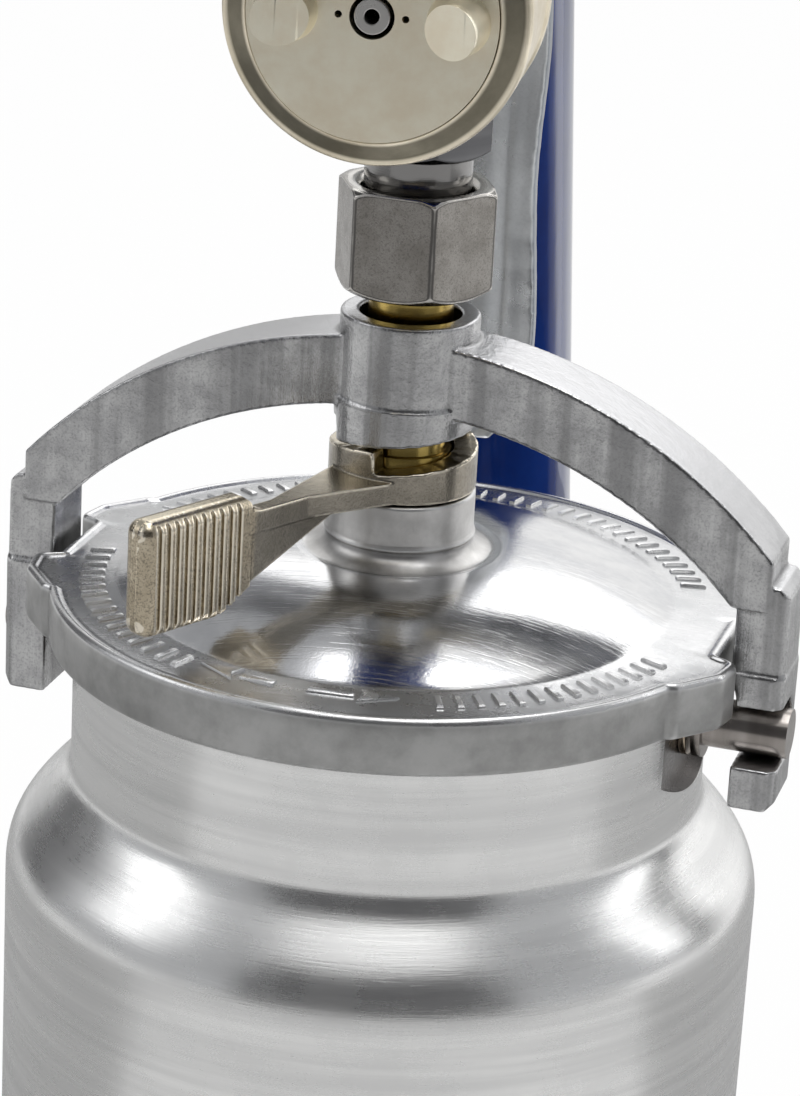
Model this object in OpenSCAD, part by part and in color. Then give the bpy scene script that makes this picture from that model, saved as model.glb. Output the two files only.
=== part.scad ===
// Suction-feed paint spray gun on a clamp-lid pot.
// The pot stands on its flat base, the gun points along -Y and its handle is at +Y.
// A cam lever on the lid lifts a yoke, whose hooks pull two pins on the cup's neck up against the lid.

/* [Cup] */
// Outside diameter of the cup's body
cup_d = 120; // [112:1:130]
// Outside diameter of the cup's neck
neck_d = 100; // [94:1:104]
// Wall of the cup's body
cup_wall = 1.6; // [1.2:0.1:2.5]
// Wall of the cup's neck
neck_wall = 4.5; // [4:0.1:5.5]
// Height of the straight body
body_h = 70; // [50:1:120]
// Height of the shoulder between body and neck
shoulder_h = 20; // [14:1:26]
// How far the shoulder's bend is pushed up towards the neck
shoulder_skew = 1.4; // [1:0.1:2]
// Height of the neck, from the shoulder to the mouth
neck_h = 23; // [21:1:30]
// Radius of the corner between base and body
foot_r = 7; // [4:0.5:10]

/* [Lid] */
// Thickness of the seal between cup and lid
gasket_t = 2; // [1.5:0.1:3]
// Thickness of the lid's flat margin
lid_t = 3; // [2.5:0.1:4]
// Thickness of the lid's outer rim
rim_t = 2.6; // [2:0.1:3.5]
// Height of the lid's outer rim
rim_h = 8.8; // [7:0.1:9.4]
// Width of the flat margin between rim and dome
margin_w = 10.8; // [8:0.1:14]
// Height of the dome at the foot of its boss
dome_h = 7.6; // [6:0.1:11]
// Thickness of the dome
dome_t = 2.6; // [2:0.1:3.2]
// Diameter of the boss that the lever turns on
boss_d = 23; // [21:0.5:26]
// Height of the boss above the lid's margin
boss_h = 17; // [15:0.1:19]
// Height of the bead along the rim's top edge
bead_h = 0.5; // [0.3:0.1:1]
// Rise of the margin from the bead to the dome
margin_rise = 0.8; // [0:0.1:1.5]
// Width of the bead along the rim's top edge
bead_w = 1.6; // [1:0.1:2.2]
// How far the guide lugs stand out from the rim
lug_out = 2.8; // [2:0.1:4]
// Length of each guide lug along the rim
lug_len = 8; // [6:0.5:10]
// Bore of the breathing hole at the back of the dome
vent_d = 2; // [1.5:0.1:3]

/* [Clamp yoke] */
// Angle of the yoke against the gun's side-to-side line
pot_turn = -7.5; // [-20:0.5:20]
// Width of the yoke's arms
arm_w = 13; // [10:0.5:14]
// Height of the arms' crown above the lid
arm_crown = 42; // [40:0.5:46]
// Depth of the arms at the crown
arm_depth = 11; // [9:0.5:12]
// Radius of the arms' upper curve
arm_top_r = 81; // [76:1:90]
// Radius of the arms' lower curve
arm_under_r = 74; // [70:1:80]
// Diameter of the yoke's boss
yoke_boss_d = 21.5; // [20:0.5:23]
// How far the yoke's boss stands above the arms' crown
yoke_boss_up = 3; // [1:0.5:3.2]
// Width of the legs' blocks with their hooks
leg_w = 13; // [12:0.5:14]
// Width of the legs between their blocks and the arms
leg_neck_w = 12; // [10:0.5:13]
// Thickness of the legs, measured out from the lid
leg_t = 8.4; // [7:0.1:10]
// Step between the arms' ends and the legs' outer faces
leg_step = 3.3; // [3:0.1:6]
// Depth of the foot under each pin
foot_t = 6.8; // [5:0.1:8]

/* [Pins] */
// Diameter of the pins on the cup's neck
pin_d = 7.8; // [6.5:0.1:8.2]
// Drop of the pins below the lid's margin
pin_drop = 14; // [13.5:0.1:16]
// How far the pins stand past the legs
pin_past = 0.6; // [0.2:0.1:1.5]
// Diameter of the pins' collars
collar_d = 11.4; // [9:0.1:11.6]
// Diameter of the cutter that mills the flats behind the pins
flat_d = 62; // [50:1:70]
// How far the milled flats reach below the pins
flat_drop = 10; // [8:0.1:10.5]
// Depth of the milled flats
flat_depth = 2.4; // [1.6:0.1:2.6]
// Room above the pin inside the hook
hook_room = 1.4; // [1.2:0.1:1.6]

/* [Cam lever] */
// Height of the lever's ring at its low point
ring_low = 4.4; // [4:0.1:5.5]
// Climb of each cam ramp over half a turn
cam_climb = 3.6; // [3.2:0.1:4]
// How far the ramps are wound up at rest, in degrees
cam_wound = 130; // [110:1:150]
// Angle of the cam's step in the yoke's frame
cam_step_angle = -95.8; // [-180:0.1:180]
// Angle of the lever in the yoke's frame
lever_angle = -117; // [-150:1:-90]
// Distance from the tube's axis to the outer end of the thumb pad
lever_reach = 56; // [48:0.5:58]
// Length of the thumb pad
pad_len = 21; // [16:0.5:24]
// Height of the thumb pad
pad_h = 18; // [14:0.5:20]
// Thickness of the thumb pad
pad_t = 5.5; // [4:0.1:7]
// Number of ribs on the thumb pad
rib_count = 9; // [5:1:11]
// Thickness of the lever's web
web_t = 2.4; // [2:0.1:3.2]

/* [Tube and coupling] */
// Outside diameter of the brass tube
tube_d = 13; // [11:0.5:13.5]
// Bore of the brass tube
tube_bore = 10.2; // [9:0.1:10.8]
// Outside diameter of the dip tube
dip_d = 10; // [8:0.1:10]
// Wall of the dip tube
dip_wall = 1; // [0.8:0.1:1.5]
// Gap between the dip tube's end and the cup's floor
dip_floor_gap = 5; // [3:0.5:10]
// How far the dip tube's end leans towards the front
dip_lean = 30; // [10:1:36]
// Height of the coupling nut's lower face above the lid
nut_low = 48.6; // [47.5:0.1:50]
// Height of the coupling nut
nut_h = 16.4; // [14:0.1:18]
// Width of the coupling nut across its flats
nut_af = 22; // [20.5:0.5:24]
// Turn of the coupling nut against the gun
nut_turn = 51; // [0:1:59]
// Diameter of the gun's inlet neck inside the nut
inlet_d = 16.4; // [15:0.1:17]
// Width of the gun's inlet hexagon across its flats
inlet_af = 19.6; // [19:0.1:22]
// Height of the inlet hexagon's lower face above the lid
inlet_hex_low = 70; // [69:0.5:72]
// Height of the inlet hexagon
inlet_hex_h = 11; // [8:0.5:12]

/* [Gun] */
// Height of the needle's axis above the lid
gun_rise = 100; // [96:1:110]
// Diameter of the gun's head
head_d = 33; // [31:0.5:35]
// Length of the head in front of the tube's axis
head_front = 25; // [22:0.5:28]
// Length of the head behind the tube's axis
head_back = 14; // [13:0.5:18]
// Distance from the tube's axis to the air cap's face
cap_front = 50; // [48:0.5:54]
// Outside diameter of the retaining ring
retainer_d = 42.8; // [41:0.1:46]
// Depth of the cone between the retaining ring's rim and the air cap's face
cone_len = 3; // [2:0.1:4]
// Diameter of the air cap's face
cap_d = 34.6; // [32:0.1:35]
// Length of the air cap's horns
horn_len = 8; // [5:0.5:10]
// Width of the bridge above the trigger window
bridge_w = 20; // [17:0.5:21]
// Height of the bridge's top above the needle's axis
bridge_top = 27; // [26:0.5:30]
// Height of the bridge's underside above the needle's axis
bridge_under = 9; // [8:0.5:9.5]
// Start of the rear block behind the tube's axis
rear_start = 62; // [60:0.5:64]
// End of the rear block behind the tube's axis
rear_end = 106; // [102:0.5:112]
// Width of the rear block
rear_w = 24; // [22:0.5:25]
// Drop of the rear block below the needle's axis
rear_drop = 12; // [10:0.5:14]
// Length of the handle below the needle's axis
handle_len = 132; // [110:1:140]
// How far the handle leans back over its length
handle_lean = 22; // [15:1:26]
// Width of the handle at the top
handle_w = 21.5; // [20:0.5:24]
// Width of the handle at the butt
butt_w = 32; // [28:0.5:34]
// Front-to-back depth of the handle
handle_deep = 35; // [30:0.5:38]

/* [Trigger and needle] */
// Distance of the trigger's pivot behind the tube's axis
pivot_y = 34; // [32:0.5:36]
// Height of the trigger's pivot above the needle's axis
pivot_up = 18; // [17:0.5:20]
// Diameter of the trigger's pivot pin
pivot_d = 5; // [4:0.1:6]
// Thickness of the trigger's cheeks
cheek_t = 2.6; // [2:0.1:3]
// Thickness of the trigger's blade
blade_t = 4; // [3:0.1:5]
// Drop of the blade's lower end below the needle's axis
blade_drop = 89; // [80:1:92]
// How far each side of the blade draws in at its waist
waist_in = 1.65; // [0:0.05:2.5]
// How far the blade bows back in the middle
blade_bow = 9; // [5:0.5:11]
// Diameter of the needle
needle_d = 3; // [2.5:0.1:3.5]
// Drop of the air valve below the needle's axis
valve_drop = 22; // [21:0.5:24]
// Diameter of the air valve's stem
valve_d = 4; // [3:0.1:4.5]
// Wire of the springs
spring_wire = 0.9; // [0.7:0.05:1]
// Turns in each spring
spring_turns = 8; // [6:1:9]

/* [Knobs and air inlet] */
// Diameter of the fluid knob
fluid_knob_d = 17; // [15:0.5:18]
// Diameter of the fan knob
fan_knob_d = 15; // [13:0.5:16]
// Length of the knobs
knob_len = 16; // [12:0.5:20]
// Height of the fan valve above the needle's axis
fan_up = 17.5; // [17.5:0.5:19]
// Number of grooves round a knob
knob_grooves = 20; // [14:1:24]
// Outside diameter of the air inlet's thread
air_thread_d = 13.16; // [10:0.01:14]
// Length of the air inlet's thread
air_thread_len = 11; // [9:0.5:14]
// Width of the air inlet's hexagon across its flats
air_af = 17; // [15:0.5:19]

/* [Fits] */
// Gap between pieces that move past each other
run_gap = 0.35; // [0.3:0.05:0.4]
// Gap between a piece and the hole that it is fixed in
seat_gap = 0.05; // [0.02:0.01:0.1]

/* [Hidden] */
$fn = 72;
eps = 0.01;
far = 200;
over = 1;
hex_ratio = 2 / sqrt(3);

cup_r = cup_d / 2;
neck_r = neck_d / 2;
mouth_z = body_h + shoulder_h + neck_h;
lid_z = mouth_z + run_gap + gasket_t + lid_t + bead_h;
skirt_gap = 1.4;
gasket_lap = 1;
skirt_r = neck_r + skirt_gap;
lid_r = skirt_r + rim_t;
dome_r = lid_r - margin_w;
dome_low = margin_rise - bead_h;
dome_bulge = 1.25;
boss_r = boss_d / 2;
shoulder_steps = 14;
corner_steps = 6;

shank_d = pin_d - 2;
collar_end = skirt_r - run_gap;
collar_t = 1.5;
washer_t = 1.2;
leg_gap = 1;
leg_in = lid_r + leg_gap;
leg_out = leg_in + leg_t;
arm_end = leg_out - leg_step;
notch_gap = 2.4;
notch_half = leg_w / 2 + notch_gap;
notch_floor = lid_r - rim_t / 4;
lug_half = notch_half + lug_len;
lug_chamfer = 1.5;
lug_ramp = 4;
lug_sink = 0.6;
lug_crest = 1;
vent_share = 0.75;
hook_top = -pin_drop + pin_d / 2 + run_gap + hook_room;
hook_floor = -pin_drop - pin_d / 2 - run_gap;
foot_low = hook_floor - foot_t;
leg_knee = -3;
arm_low = 7.4;
leg_relief = 1.2;
relief_drop = 4;
leg_brow = 11.3;
brow_in = 1.9;
brow_h = 1.6;
leg_taper = 0.4;
leg_set = 0.1;
leg_edge = 1.3;
foot_chamfer = 1.5;

tube_r = tube_d / 2;
sleeve_wall = 0.9;
sleeve_r = tube_r + sleeve_wall;
bore_r = sleeve_r + run_gap + seat_gap;
sleeve_more = 2;
ring_bottom = boss_h + run_gap;
ring_low_z = ring_bottom + ring_low;
ring_r = boss_r;
half_turn = 180;
cam_rate = cam_climb / half_turn;
yoke_low_z = ring_low_z + cam_rate * cam_wound + run_gap;
yoke_step_angle = cam_step_angle - (half_turn - cam_wound);
step_slope = 3;
cam_flat = 0.2;
ramp_steps = 12;
yoke_ring_more = 1;
yoke_ring_h = 7;
flange_drop = 0.9;
flange_in = 0.4;
flange_turn = 0.9;
flange_side = 0.44;
flange_front = 9.4;
flange_reach = 23.5;
flange_top = ring_bottom + ring_low - flange_drop;
web_start = 5.3;
web_drop = 0.1;
web_inset = 0.3;
web_rise = 4;
lever_neck = 6;
pad_heel = 4;
pad_toe = 7;
pad_chamfer = 1;
pad_face = 3.2;
pad_low = 5.2;
pad_in = lever_reach - pad_len;
web_front = pad_face - web_inset;
web_back = web_front - web_t;
rib_depth = 0.7;
rib_margin = 2.6;
rib_groove = 0.4;

nut_lip = 2.2;
nut_face_in = 0.5;
nut_low_chamfer = 1.4;
nut_top_chamfer = 0.8;
nut_mouth = 1.2;
nut_top = nut_low + nut_h;
nut_corner_r = nut_af / 2 * hex_ratio;
thread_bore_r = inlet_d / 2 + run_gap;
tube_head_h = 2.6;
tube_head_low = nut_low + nut_lip + run_gap;
inlet_low = tube_head_low + tube_head_h + seat_gap;
paint_bore_r = 4;
lock_af = 19;
lock_h = 5;
dome_under = dome_h - dome_t;
lock_past = 4;
tube_low = dome_under - lock_h - lock_past;
dip_lap = 14;
dip_top = tube_low + dip_lap;
dip_bend_drop = 55;
dip_bend_z = lid_z - dip_bend_drop;

gun_z = lid_z + gun_rise;
ring_wall = 2;
ring_bore_d = retainer_d - 2 * ring_wall;
thread_gap = 0.6;
nose_d = ring_bore_d - 2 * thread_gap;
nose_front = head_front + 10;
ring_back = head_front + run_gap;
ring_rim = 1;
ring_chamfer = 1.2;
cap_proud = 0.3;
ring_front = cap_front - cap_proud;
cone_back = cap_front - cone_len;
lip_back = cone_back - run_gap;
cap_flange_d = ring_bore_d - 2 * run_gap;
cap_flange_t = 3.4;
cap_back = nose_front + run_gap;
jet_gap = 0.6;
jet_d = 1;
jet_x = 4.6;
cap_cone_start = 5;
cap_cone_len = 8;
horn_x = cap_d * 0.34;
horn_tip_d = 7;
horn_root_d = 9;
horn_slant = 28;
horn_flat = 1.6;
nozzle_d = 16;
nozzle_tip_d = 5;
nozzle_tip_len = 5.5;
nozzle_seat = 8;
nozzle_step = 2;
needle_tip = cap_front - 2;
needle_tip_len = 6;
needle_point_d = needle_d - 1;
needle_throat = cap_front - 9;
needle_flare = 4.5;
stud_d = 14;
stud_up = -6;
packing_len = 9;
packing_in = 7;
packing_af = 12;
needle_bore_d = 9;
collar_y = 43;
needle_collar_d = 8;
needle_collar_len = 4;
needle_end = 82;
needle_shoulder = 72;
shoulder_t = 3;
spring_end = 96;
spring_rest = 0.2;
needle_coil_d = needle_d + 2.6;
rear_bore_d = needle_collar_d + 2 * run_gap + 1;
knob_stem_d = 6;
bush_len = 4;
bush_in = 8;
fluid_bush_af = 14;
fan_bush_af = 12;
knob_gap = 1;
knob_front = rear_end + bush_len + knob_gap;
knob_rim = 2;
groove_d = 1.6;
groove_out = 0.3;
fan_bore_d = 8;
fan_stem_d = 5;
fan_tip_d = 1;
fan_tip_len = 4;
fan_bore_depth = 18;
fan_knob_less = 2;
valve_front = 50;
valve_bore_d = 12.4;
valve_disc_d = 10.4;
valve_seat_y = 84;
valve_spring_end = 99;
valve_turns_less = 3;
valve_coil_d = valve_disc_d - 3;
gland_front = 64;
gland_hex_t = 4;
gland_af = 14;
gland_back = 80;
rear_rise = 0.8;
handle_y = 85;
handle_top = 2;
handle_slice = 2;
handle_more = 3;
// Share of the handle's height, share of its lean, width and depth of each oval section
handle_sections = [[0, 0, handle_w, handle_deep + handle_more], [0.38, 0.3, handle_w, handle_deep],
                   [0.78, 0.72, (handle_w + butt_w) / 2, handle_deep - 2], [1, 1, butt_w, handle_deep + 1]];
butt_z = handle_top - handle_len;
butt_y = handle_y + handle_lean;
air_bore_d = 8;
air_stud_len = 12;
air_hex_h = 6;
cheek_gap = 0.9;
trigger_w = bridge_w + 2 * (cheek_gap + cheek_t);
cheek_r = 7;
blade_top = -12;
blade_y = 41;
blade_steps = 14;
waist_top = 18;
waist_low = 76;
waist_steps = 12;
blade_lean = 2;
blade_corner = 6;
cheek_lap = 3;
cheek_hem = 2;
crossbar_gap = 0.7;
crossbar_d = 4.4;
crossbar_y = collar_y - run_gap - crossbar_d / 2;
bridge_nose = -8;
pin_head_t = 2;
pin_head_d = pivot_d + 4;

// Frame of the pot: origin on the tube's axis level with the lid's rim, X along the yoke
module on_pot() translate([0, 0, lid_z]) rotate([0, 0, pot_turn]) children();

// Frame of the gun: origin where the needle's axis crosses the tube's axis
module on_gun() translate([0, 0, gun_z]) children();

// The two ends of the yoke, half a turn apart
module both_ends() for (turn = [0, half_turn]) rotate([0, 0, turn]) children();

// Round bar along Y
module rod_y(from, to, d) translate([0, from, 0]) rotate([-90, 0, 0]) cylinder(d = d, h = to - from);

// Round bar along X
module rod_x(from, to, d) translate([from, 0, 0]) rotate([0, 90, 0]) cylinder(d = d, h = to - from);

// Hexagonal prism along Z
module hex_bar(af, h) cylinder(r = af / 2 * hex_ratio, h = h, $fn = 6);

// Plate of a given side outline, drawn in the plane of Y and Z and centred on X
module side_plate(width, points)
    translate([-width / 2, 0, 0]) rotate([90, 0, 90]) linear_extrude(width) polygon(points);

// Ring that fills the space above a two-lobed ramp, up to a flat top
module above_ramp(low, climb, flat, from_r, to_r) {
    stations = 2 * (ramp_steps + 1);
    points = [for (lobe = [0, 1], i = [0 : ramp_steps])
        let (a = half_turn * lobe + (half_turn - step_slope) * i / ramp_steps,
             z = low + climb * i / ramp_steps)
        each [[from_r * cos(a), from_r * sin(a), z], [to_r * cos(a), to_r * sin(a), z],
              [to_r * cos(a), to_r * sin(a), flat], [from_r * cos(a), from_r * sin(a), flat]]];
    faces = [for (i = [0 : stations - 1], k = [0 : 3])
        let (j = (i + 1) % stations, m = (k + 1) % 4)
        each [[4 * i + k, 4 * i + m, 4 * j + m], [4 * i + k, 4 * j + m, 4 * j + k]]];
    polyhedron(points, faces);
}

// Helical spring along Y
module coil(mean_d, wire_d, from, to, turns) {
    rings = turns * 8;
    sides = 6;
    pitch = (to - from - wire_d) / turns;
    echo(least_spring_gap = pitch - wire_d);
    points = [for (i = [0 : rings], k = [0 : sides - 1])
        let (a = 360 * turns * i / rings, b = 360 * k / sides, r = mean_d / 2 + wire_d / 2 * cos(b))
        [r * cos(a), from + wire_d / 2 + pitch * turns * i / rings + wire_d / 2 * sin(b), r * sin(a)]];
    skin = [for (i = [0 : rings - 1], k = [0 : sides - 1])
        let (m = (k + 1) % sides, a = i * sides, b = a + sides)
        each [[a + k, b + m, a + m], [a + k, b + k, b + m]]];
    caps = [for (k = [1 : sides - 2])
        each [[0, k, k + 1], [rings * sides, rings * sides + k + 1, rings * sides + k]]];
    polyhedron(points, concat(skin, caps));
}

// Round knob along Y with grooves round its rim
module grooved_knob(from, to, d) difference() {
    rod_y(from, to, d);
    for (i = [0 : knob_grooves - 1])
        rotate([0, 360 * i / knob_grooves, 0]) translate([d / 2 + groove_out, 0, 0])
            rod_y(from + knob_rim, to + over, groove_d);
}

// Radius of the cup's outside at a share of the shoulder's height
function shoulder_r(t) = neck_r + (cup_r - neck_r) * (1 + cos(180 * pow(t, shoulder_skew))) / 2;

// Solid of revolution that the cup's outside fills
module cup_outside() rotate_extrude() polygon(concat(
    [[0, 0]],
    [for (i = [0 : corner_steps]) let (a = 90 * i / corner_steps)
        [cup_r - foot_r + foot_r * sin(a), foot_r - foot_r * cos(a)]],
    [for (i = [0 : shoulder_steps]) let (t = i / shoulder_steps) [shoulder_r(t), body_h + shoulder_h * t]],
    [[neck_r, mouth_z], [0, mouth_z]]));

// Space inside the cup
module cup_inside() rotate_extrude() polygon(concat(
    [[0, cup_wall]],
    [for (i = [0 : corner_steps]) let (a = 90 * i / corner_steps, r = foot_r - cup_wall)
        [cup_r - foot_r + r * sin(a), foot_r - r * cos(a)]],
    [for (i = [0 : shoulder_steps]) let (t = i / shoulder_steps)
        [shoulder_r(t) - cup_wall - (neck_wall - cup_wall) * t, body_h + shoulder_h * t]],
    [[neck_r - neck_wall, mouth_z + over], [0, mouth_z + over]]));

module cup() color("silver") difference() {
    cup_outside();
    cup_inside();
    on_pot() both_ends() translate([0, 0, -pin_drop]) {
        translate([0, 0, flat_d / 2 - flat_drop]) rod_x(neck_r - flat_depth, cup_r, flat_d);
        rod_x(neck_r - 2 * neck_wall, neck_r, shank_d + 2 * seat_gap);
    }
}

module cup_pins() color("slategray") on_pot() both_ends() translate([0, 0, -pin_drop]) {
    rod_x(neck_r - neck_wall + run_gap, collar_end, shank_d);
    rod_x(collar_end - collar_t, collar_end, collar_d);
    rod_x(collar_end - eps, leg_out + pin_past, pin_d);
}

module pin_washers() color("darkgray") on_pot() both_ends() translate([0, 0, -pin_drop])
    difference() {
        rod_x(neck_r - flat_depth + seat_gap, neck_r - flat_depth + washer_t, collar_d);
        rod_x(0, cup_r, shank_d + 2 * seat_gap);
    }

module lid_gasket() color("dimgray") translate([0, 0, mouth_z + run_gap]) difference() {
    cylinder(r = neck_r + skirt_gap / 2, h = gasket_t - seat_gap);
    translate([0, 0, -over]) cylinder(r = neck_r - neck_wall - gasket_lap, h = gasket_t + 2 * over);
}

// Height of the dome's upper face at a radius
function dome_z(r) = dome_h - (dome_h - dome_low) * pow((r - boss_r) / (dome_r - boss_r), dome_bulge);

// Plan outline of one pair of guide lugs, in the frame of the yoke
module lug_plan() polygon([
    [0, -lug_half - lug_ramp], [lid_r - lug_out - lug_sink, -lug_half - lug_ramp],
    [lid_r + lug_out - lug_crest, -lug_half + lug_chamfer], [lid_r + lug_out, -notch_half - lug_chamfer],
    [lid_r + lug_out - lug_chamfer, -notch_half], [lid_r + lug_out - lug_chamfer, notch_half],
    [lid_r + lug_out, notch_half + lug_chamfer], [lid_r + lug_out - lug_crest, lug_half - lug_chamfer],
    [lid_r - lug_out - lug_sink, lug_half + lug_ramp], [0, lug_half + lug_ramp]]);

module lid_shell() rotate_extrude() polygon(concat(
    [[tube_r + seat_gap, boss_h], [boss_r, boss_h]],
    [for (i = [0 : shoulder_steps]) let (r = boss_r + (dome_r - boss_r) * i / shoulder_steps)
        [r, dome_z(r)]],
    [[lid_r - bead_w, -bead_h], [lid_r - bead_w + bead_h, 0], [lid_r - bead_h, 0], [lid_r, -bead_h],
     [lid_r, -rim_h], [skirt_r, -rim_h], [skirt_r, -bead_h - lid_t]],
    [for (i = [shoulder_steps : -1 : 0]) let (r = boss_r + (dome_r - boss_r) * i / shoulder_steps)
        [r, dome_z(r) - dome_t - (lid_t - dome_t) * i / shoulder_steps]],
    [[tube_r + seat_gap, dome_under]]));

module lid() color("gainsboro") on_pot() difference() {
    union() {
        lid_shell();
        difference() {
            translate([0, 0, -rim_h]) linear_extrude(rim_h) union() {
                lug_plan();
                rotate(half_turn) lug_plan();
            }
            translate([0, 0, -far / 2]) cylinder(r = lid_r - rim_t / 2, h = far);
        }
    }
    both_ends() translate([notch_floor, -notch_half, -far / 2]) cube([far, 2 * notch_half, far]);
    rotate([0, 0, 90 - pot_turn]) translate([dome_r * vent_share, 0, -far / 2])
        cylinder(d = vent_d, h = far);
}

// Arched arms of the yoke, cut square at their ends
module yoke_arms() rotate([90, 0, 0]) translate([0, 0, -arm_w / 2]) intersection() {
    difference() {
        translate([0, arm_crown - arm_top_r, 0]) cylinder(r = arm_top_r, h = arm_w, $fn = 144);
        translate([0, arm_crown - arm_depth - arm_under_r, -over])
            cylinder(r = arm_under_r, h = arm_w + 2 * over, $fn = 144);
    }
    translate([-arm_end, arm_low, -over]) cube([2 * arm_end, far, arm_w + 2 * over]);
}

// Length of a leg, from its side view, with its outer upright edges broken
module leg_piece(w, side) {
    half = w / 2 + over;
    edge = leg_edge + 2 * over;
    intersection() {
        rotate([90, 0, 0]) translate([0, 0, -w / 2]) linear_extrude(w) polygon(side);
        translate([0, 0, -far / 2]) linear_extrude(far) polygon([
            [0, -half], [leg_out + over - edge, -half], [leg_out + over, -half + edge],
            [leg_out + over, half - edge], [leg_out + over - edge, half], [0, half]]);
    }
}

// One leg: the block around the hook and the narrower neck between block and arm
module yoke_leg() {
    leg_piece(leg_w, [
        [leg_in + leg_relief, foot_low], [leg_out - foot_chamfer, foot_low],
        [leg_out, foot_low + foot_chamfer], [leg_out, leg_knee], [leg_in, leg_knee],
        [leg_in + leg_relief, leg_knee - relief_drop]]);
    leg_piece(leg_neck_w, [
        [leg_in + leg_relief, leg_knee - over], [leg_out - leg_set, leg_knee - over],
        [leg_out - leg_taper, leg_brow - brow_h], [leg_out - brow_in, leg_brow], [leg_in, leg_brow],
        [leg_in, leg_knee]]);
}

// Hook slot through a leg, open towards -Y
module hook_slot() {
    slot_d = pin_d + 2 * run_gap;
    translate([leg_in - over, -leg_w, hook_floor]) cube([leg_t + 2 * over, leg_w, hook_top - hook_floor]);
    translate([0, 0, hook_floor + slot_d / 2]) rod_x(leg_in - over, leg_out + over, slot_d);
    translate([0, 0, hook_top - slot_d / 2]) rod_x(leg_in - over, leg_out + over, slot_d);
}

module yoke() color("lightgray") on_pot() difference() {
    union() {
        yoke_arms();
        both_ends() yoke_leg();
        translate([0, 0, yoke_low_z]) cylinder(d = yoke_boss_d, h = arm_crown + yoke_boss_up - yoke_low_z);
        translate([0, 0, yoke_low_z]) cylinder(d = yoke_boss_d + yoke_ring_more, h = yoke_ring_h);
    }
    translate([0, 0, yoke_low_z - over]) cylinder(r = bore_r, h = far);
    both_ends() hook_slot();
    rotate([0, 0, yoke_step_angle]) mirror([0, 0, 1])
        above_ramp(-yoke_low_z, -cam_climb, over - yoke_low_z, bore_r / 2, yoke_boss_d);
}

module cam_lever() color("burlywood") on_pot() {
    difference() {
        translate([0, 0, ring_bottom]) cylinder(r = ring_r, h = ring_low + cam_climb - cam_flat);
        translate([0, 0, ring_bottom - over]) cylinder(r = bore_r, h = far);
        rotate([0, 0, cam_step_angle])
            above_ramp(ring_low_z, cam_climb, ring_low_z + 2 * cam_climb, bore_r / 2, 2 * ring_r);
    }
    rotate([0, 0, lever_angle]) {
        difference() {
            translate([0, 0, ring_bottom]) linear_extrude(ring_low - flange_drop) polygon([
                [0, flange_front], [0, -ring_r + flange_in],
                [ring_r * flange_turn, -ring_r * flange_side], [pad_in - lever_neck, web_back],
                [pad_in + over, web_back], [pad_in + over, pad_face],
                [flange_reach, pad_face]]);
            translate([0, 0, ring_bottom - over]) cylinder(r = bore_r, h = far);
        }
        side_web();
        thumb_pad();
    }
}

// Upright web under the lever's flange
module side_web() translate([0, web_front, 0]) rotate([90, 0, 0]) linear_extrude(web_t) polygon([
    [ring_r - over, ring_bottom + flange_in], [ring_r - over, flange_top - over],
    [pad_in - web_rise, flange_top - over], [pad_in + over, pad_low + pad_h - pad_chamfer],
    [pad_in + over, pad_low + pad_heel], [ring_r + web_start, ring_bottom - web_drop]]);

// Thumb pad with upright ribs on its face
module thumb_pad() difference() {
    translate([0, pad_face, 0]) rotate([90, 0, 0]) linear_extrude(pad_t) polygon([
        [pad_in, pad_low + pad_heel], [pad_in + pad_toe, pad_low], [lever_reach - pad_chamfer, pad_low],
        [lever_reach, pad_low + pad_chamfer], [lever_reach, pad_low + pad_h - pad_chamfer],
        [lever_reach - pad_chamfer, pad_low + pad_h], [pad_in + pad_chamfer, pad_low + pad_h],
        [pad_in, pad_low + pad_h - pad_chamfer]]);
    pitch = (pad_len - 2 * rib_margin) / rib_count;
    for (i = [0 : rib_count])
        translate([pad_in + rib_margin + pitch * (i - rib_groove / 2), pad_face - rib_depth,
                   pad_low - over])
            cube([pitch * rib_groove, rib_depth + over, pad_h + 2 * over]);
}

module fluid_tube() color("goldenrod") on_pot() difference() {
    union() {
        translate([0, 0, tube_low]) cylinder(r = tube_r, h = tube_head_low + tube_head_h - tube_low);
        translate([0, 0, boss_h + seat_gap]) cylinder(r = sleeve_r, h = ring_low + sleeve_more);
        translate([0, 0, tube_head_low]) cylinder(r = inlet_d / 2, h = tube_head_h);
    }
    translate([0, 0, tube_low - over]) cylinder(d = tube_bore, h = far);
}

module tube_lock_nut() color("darkgoldenrod") on_pot() difference() {
    translate([0, 0, dome_under - lock_h - seat_gap]) hex_bar(lock_af, lock_h);
    translate([0, 0, dome_under - far / 2]) cylinder(r = tube_r + seat_gap, h = far);
}

// Path of the dip tube as a solid of a given diameter, mitred at its bend
module dip_run(d, past) translate([0, 0, dip_bend_z]) {
    drop = dip_bend_z - cup_wall - dip_floor_gap - dip_d / 4;
    lean = atan(dip_lean / drop);
    intersection() {
        translate([0, 0, -d]) cylinder(d = d, h = lid_z + dip_top - dip_bend_z + d + past);
        rotate([-lean / 2, 0, 0]) translate([-far / 2, -far / 2, 0]) cube(far);
    }
    intersection() {
        rotate([half_turn - lean, 0, 0]) translate([0, 0, -d])
            cylinder(d = d, h = norm([dip_lean, drop]) + d + past);
        rotate([-lean / 2, 0, 0]) translate([-far / 2, -far / 2, -far]) cube(far);
    }
}

module dip_tube() color("silver") difference() {
    dip_run(dip_d, 0);
    dip_run(dip_d - 2 * dip_wall, over);
}

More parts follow.
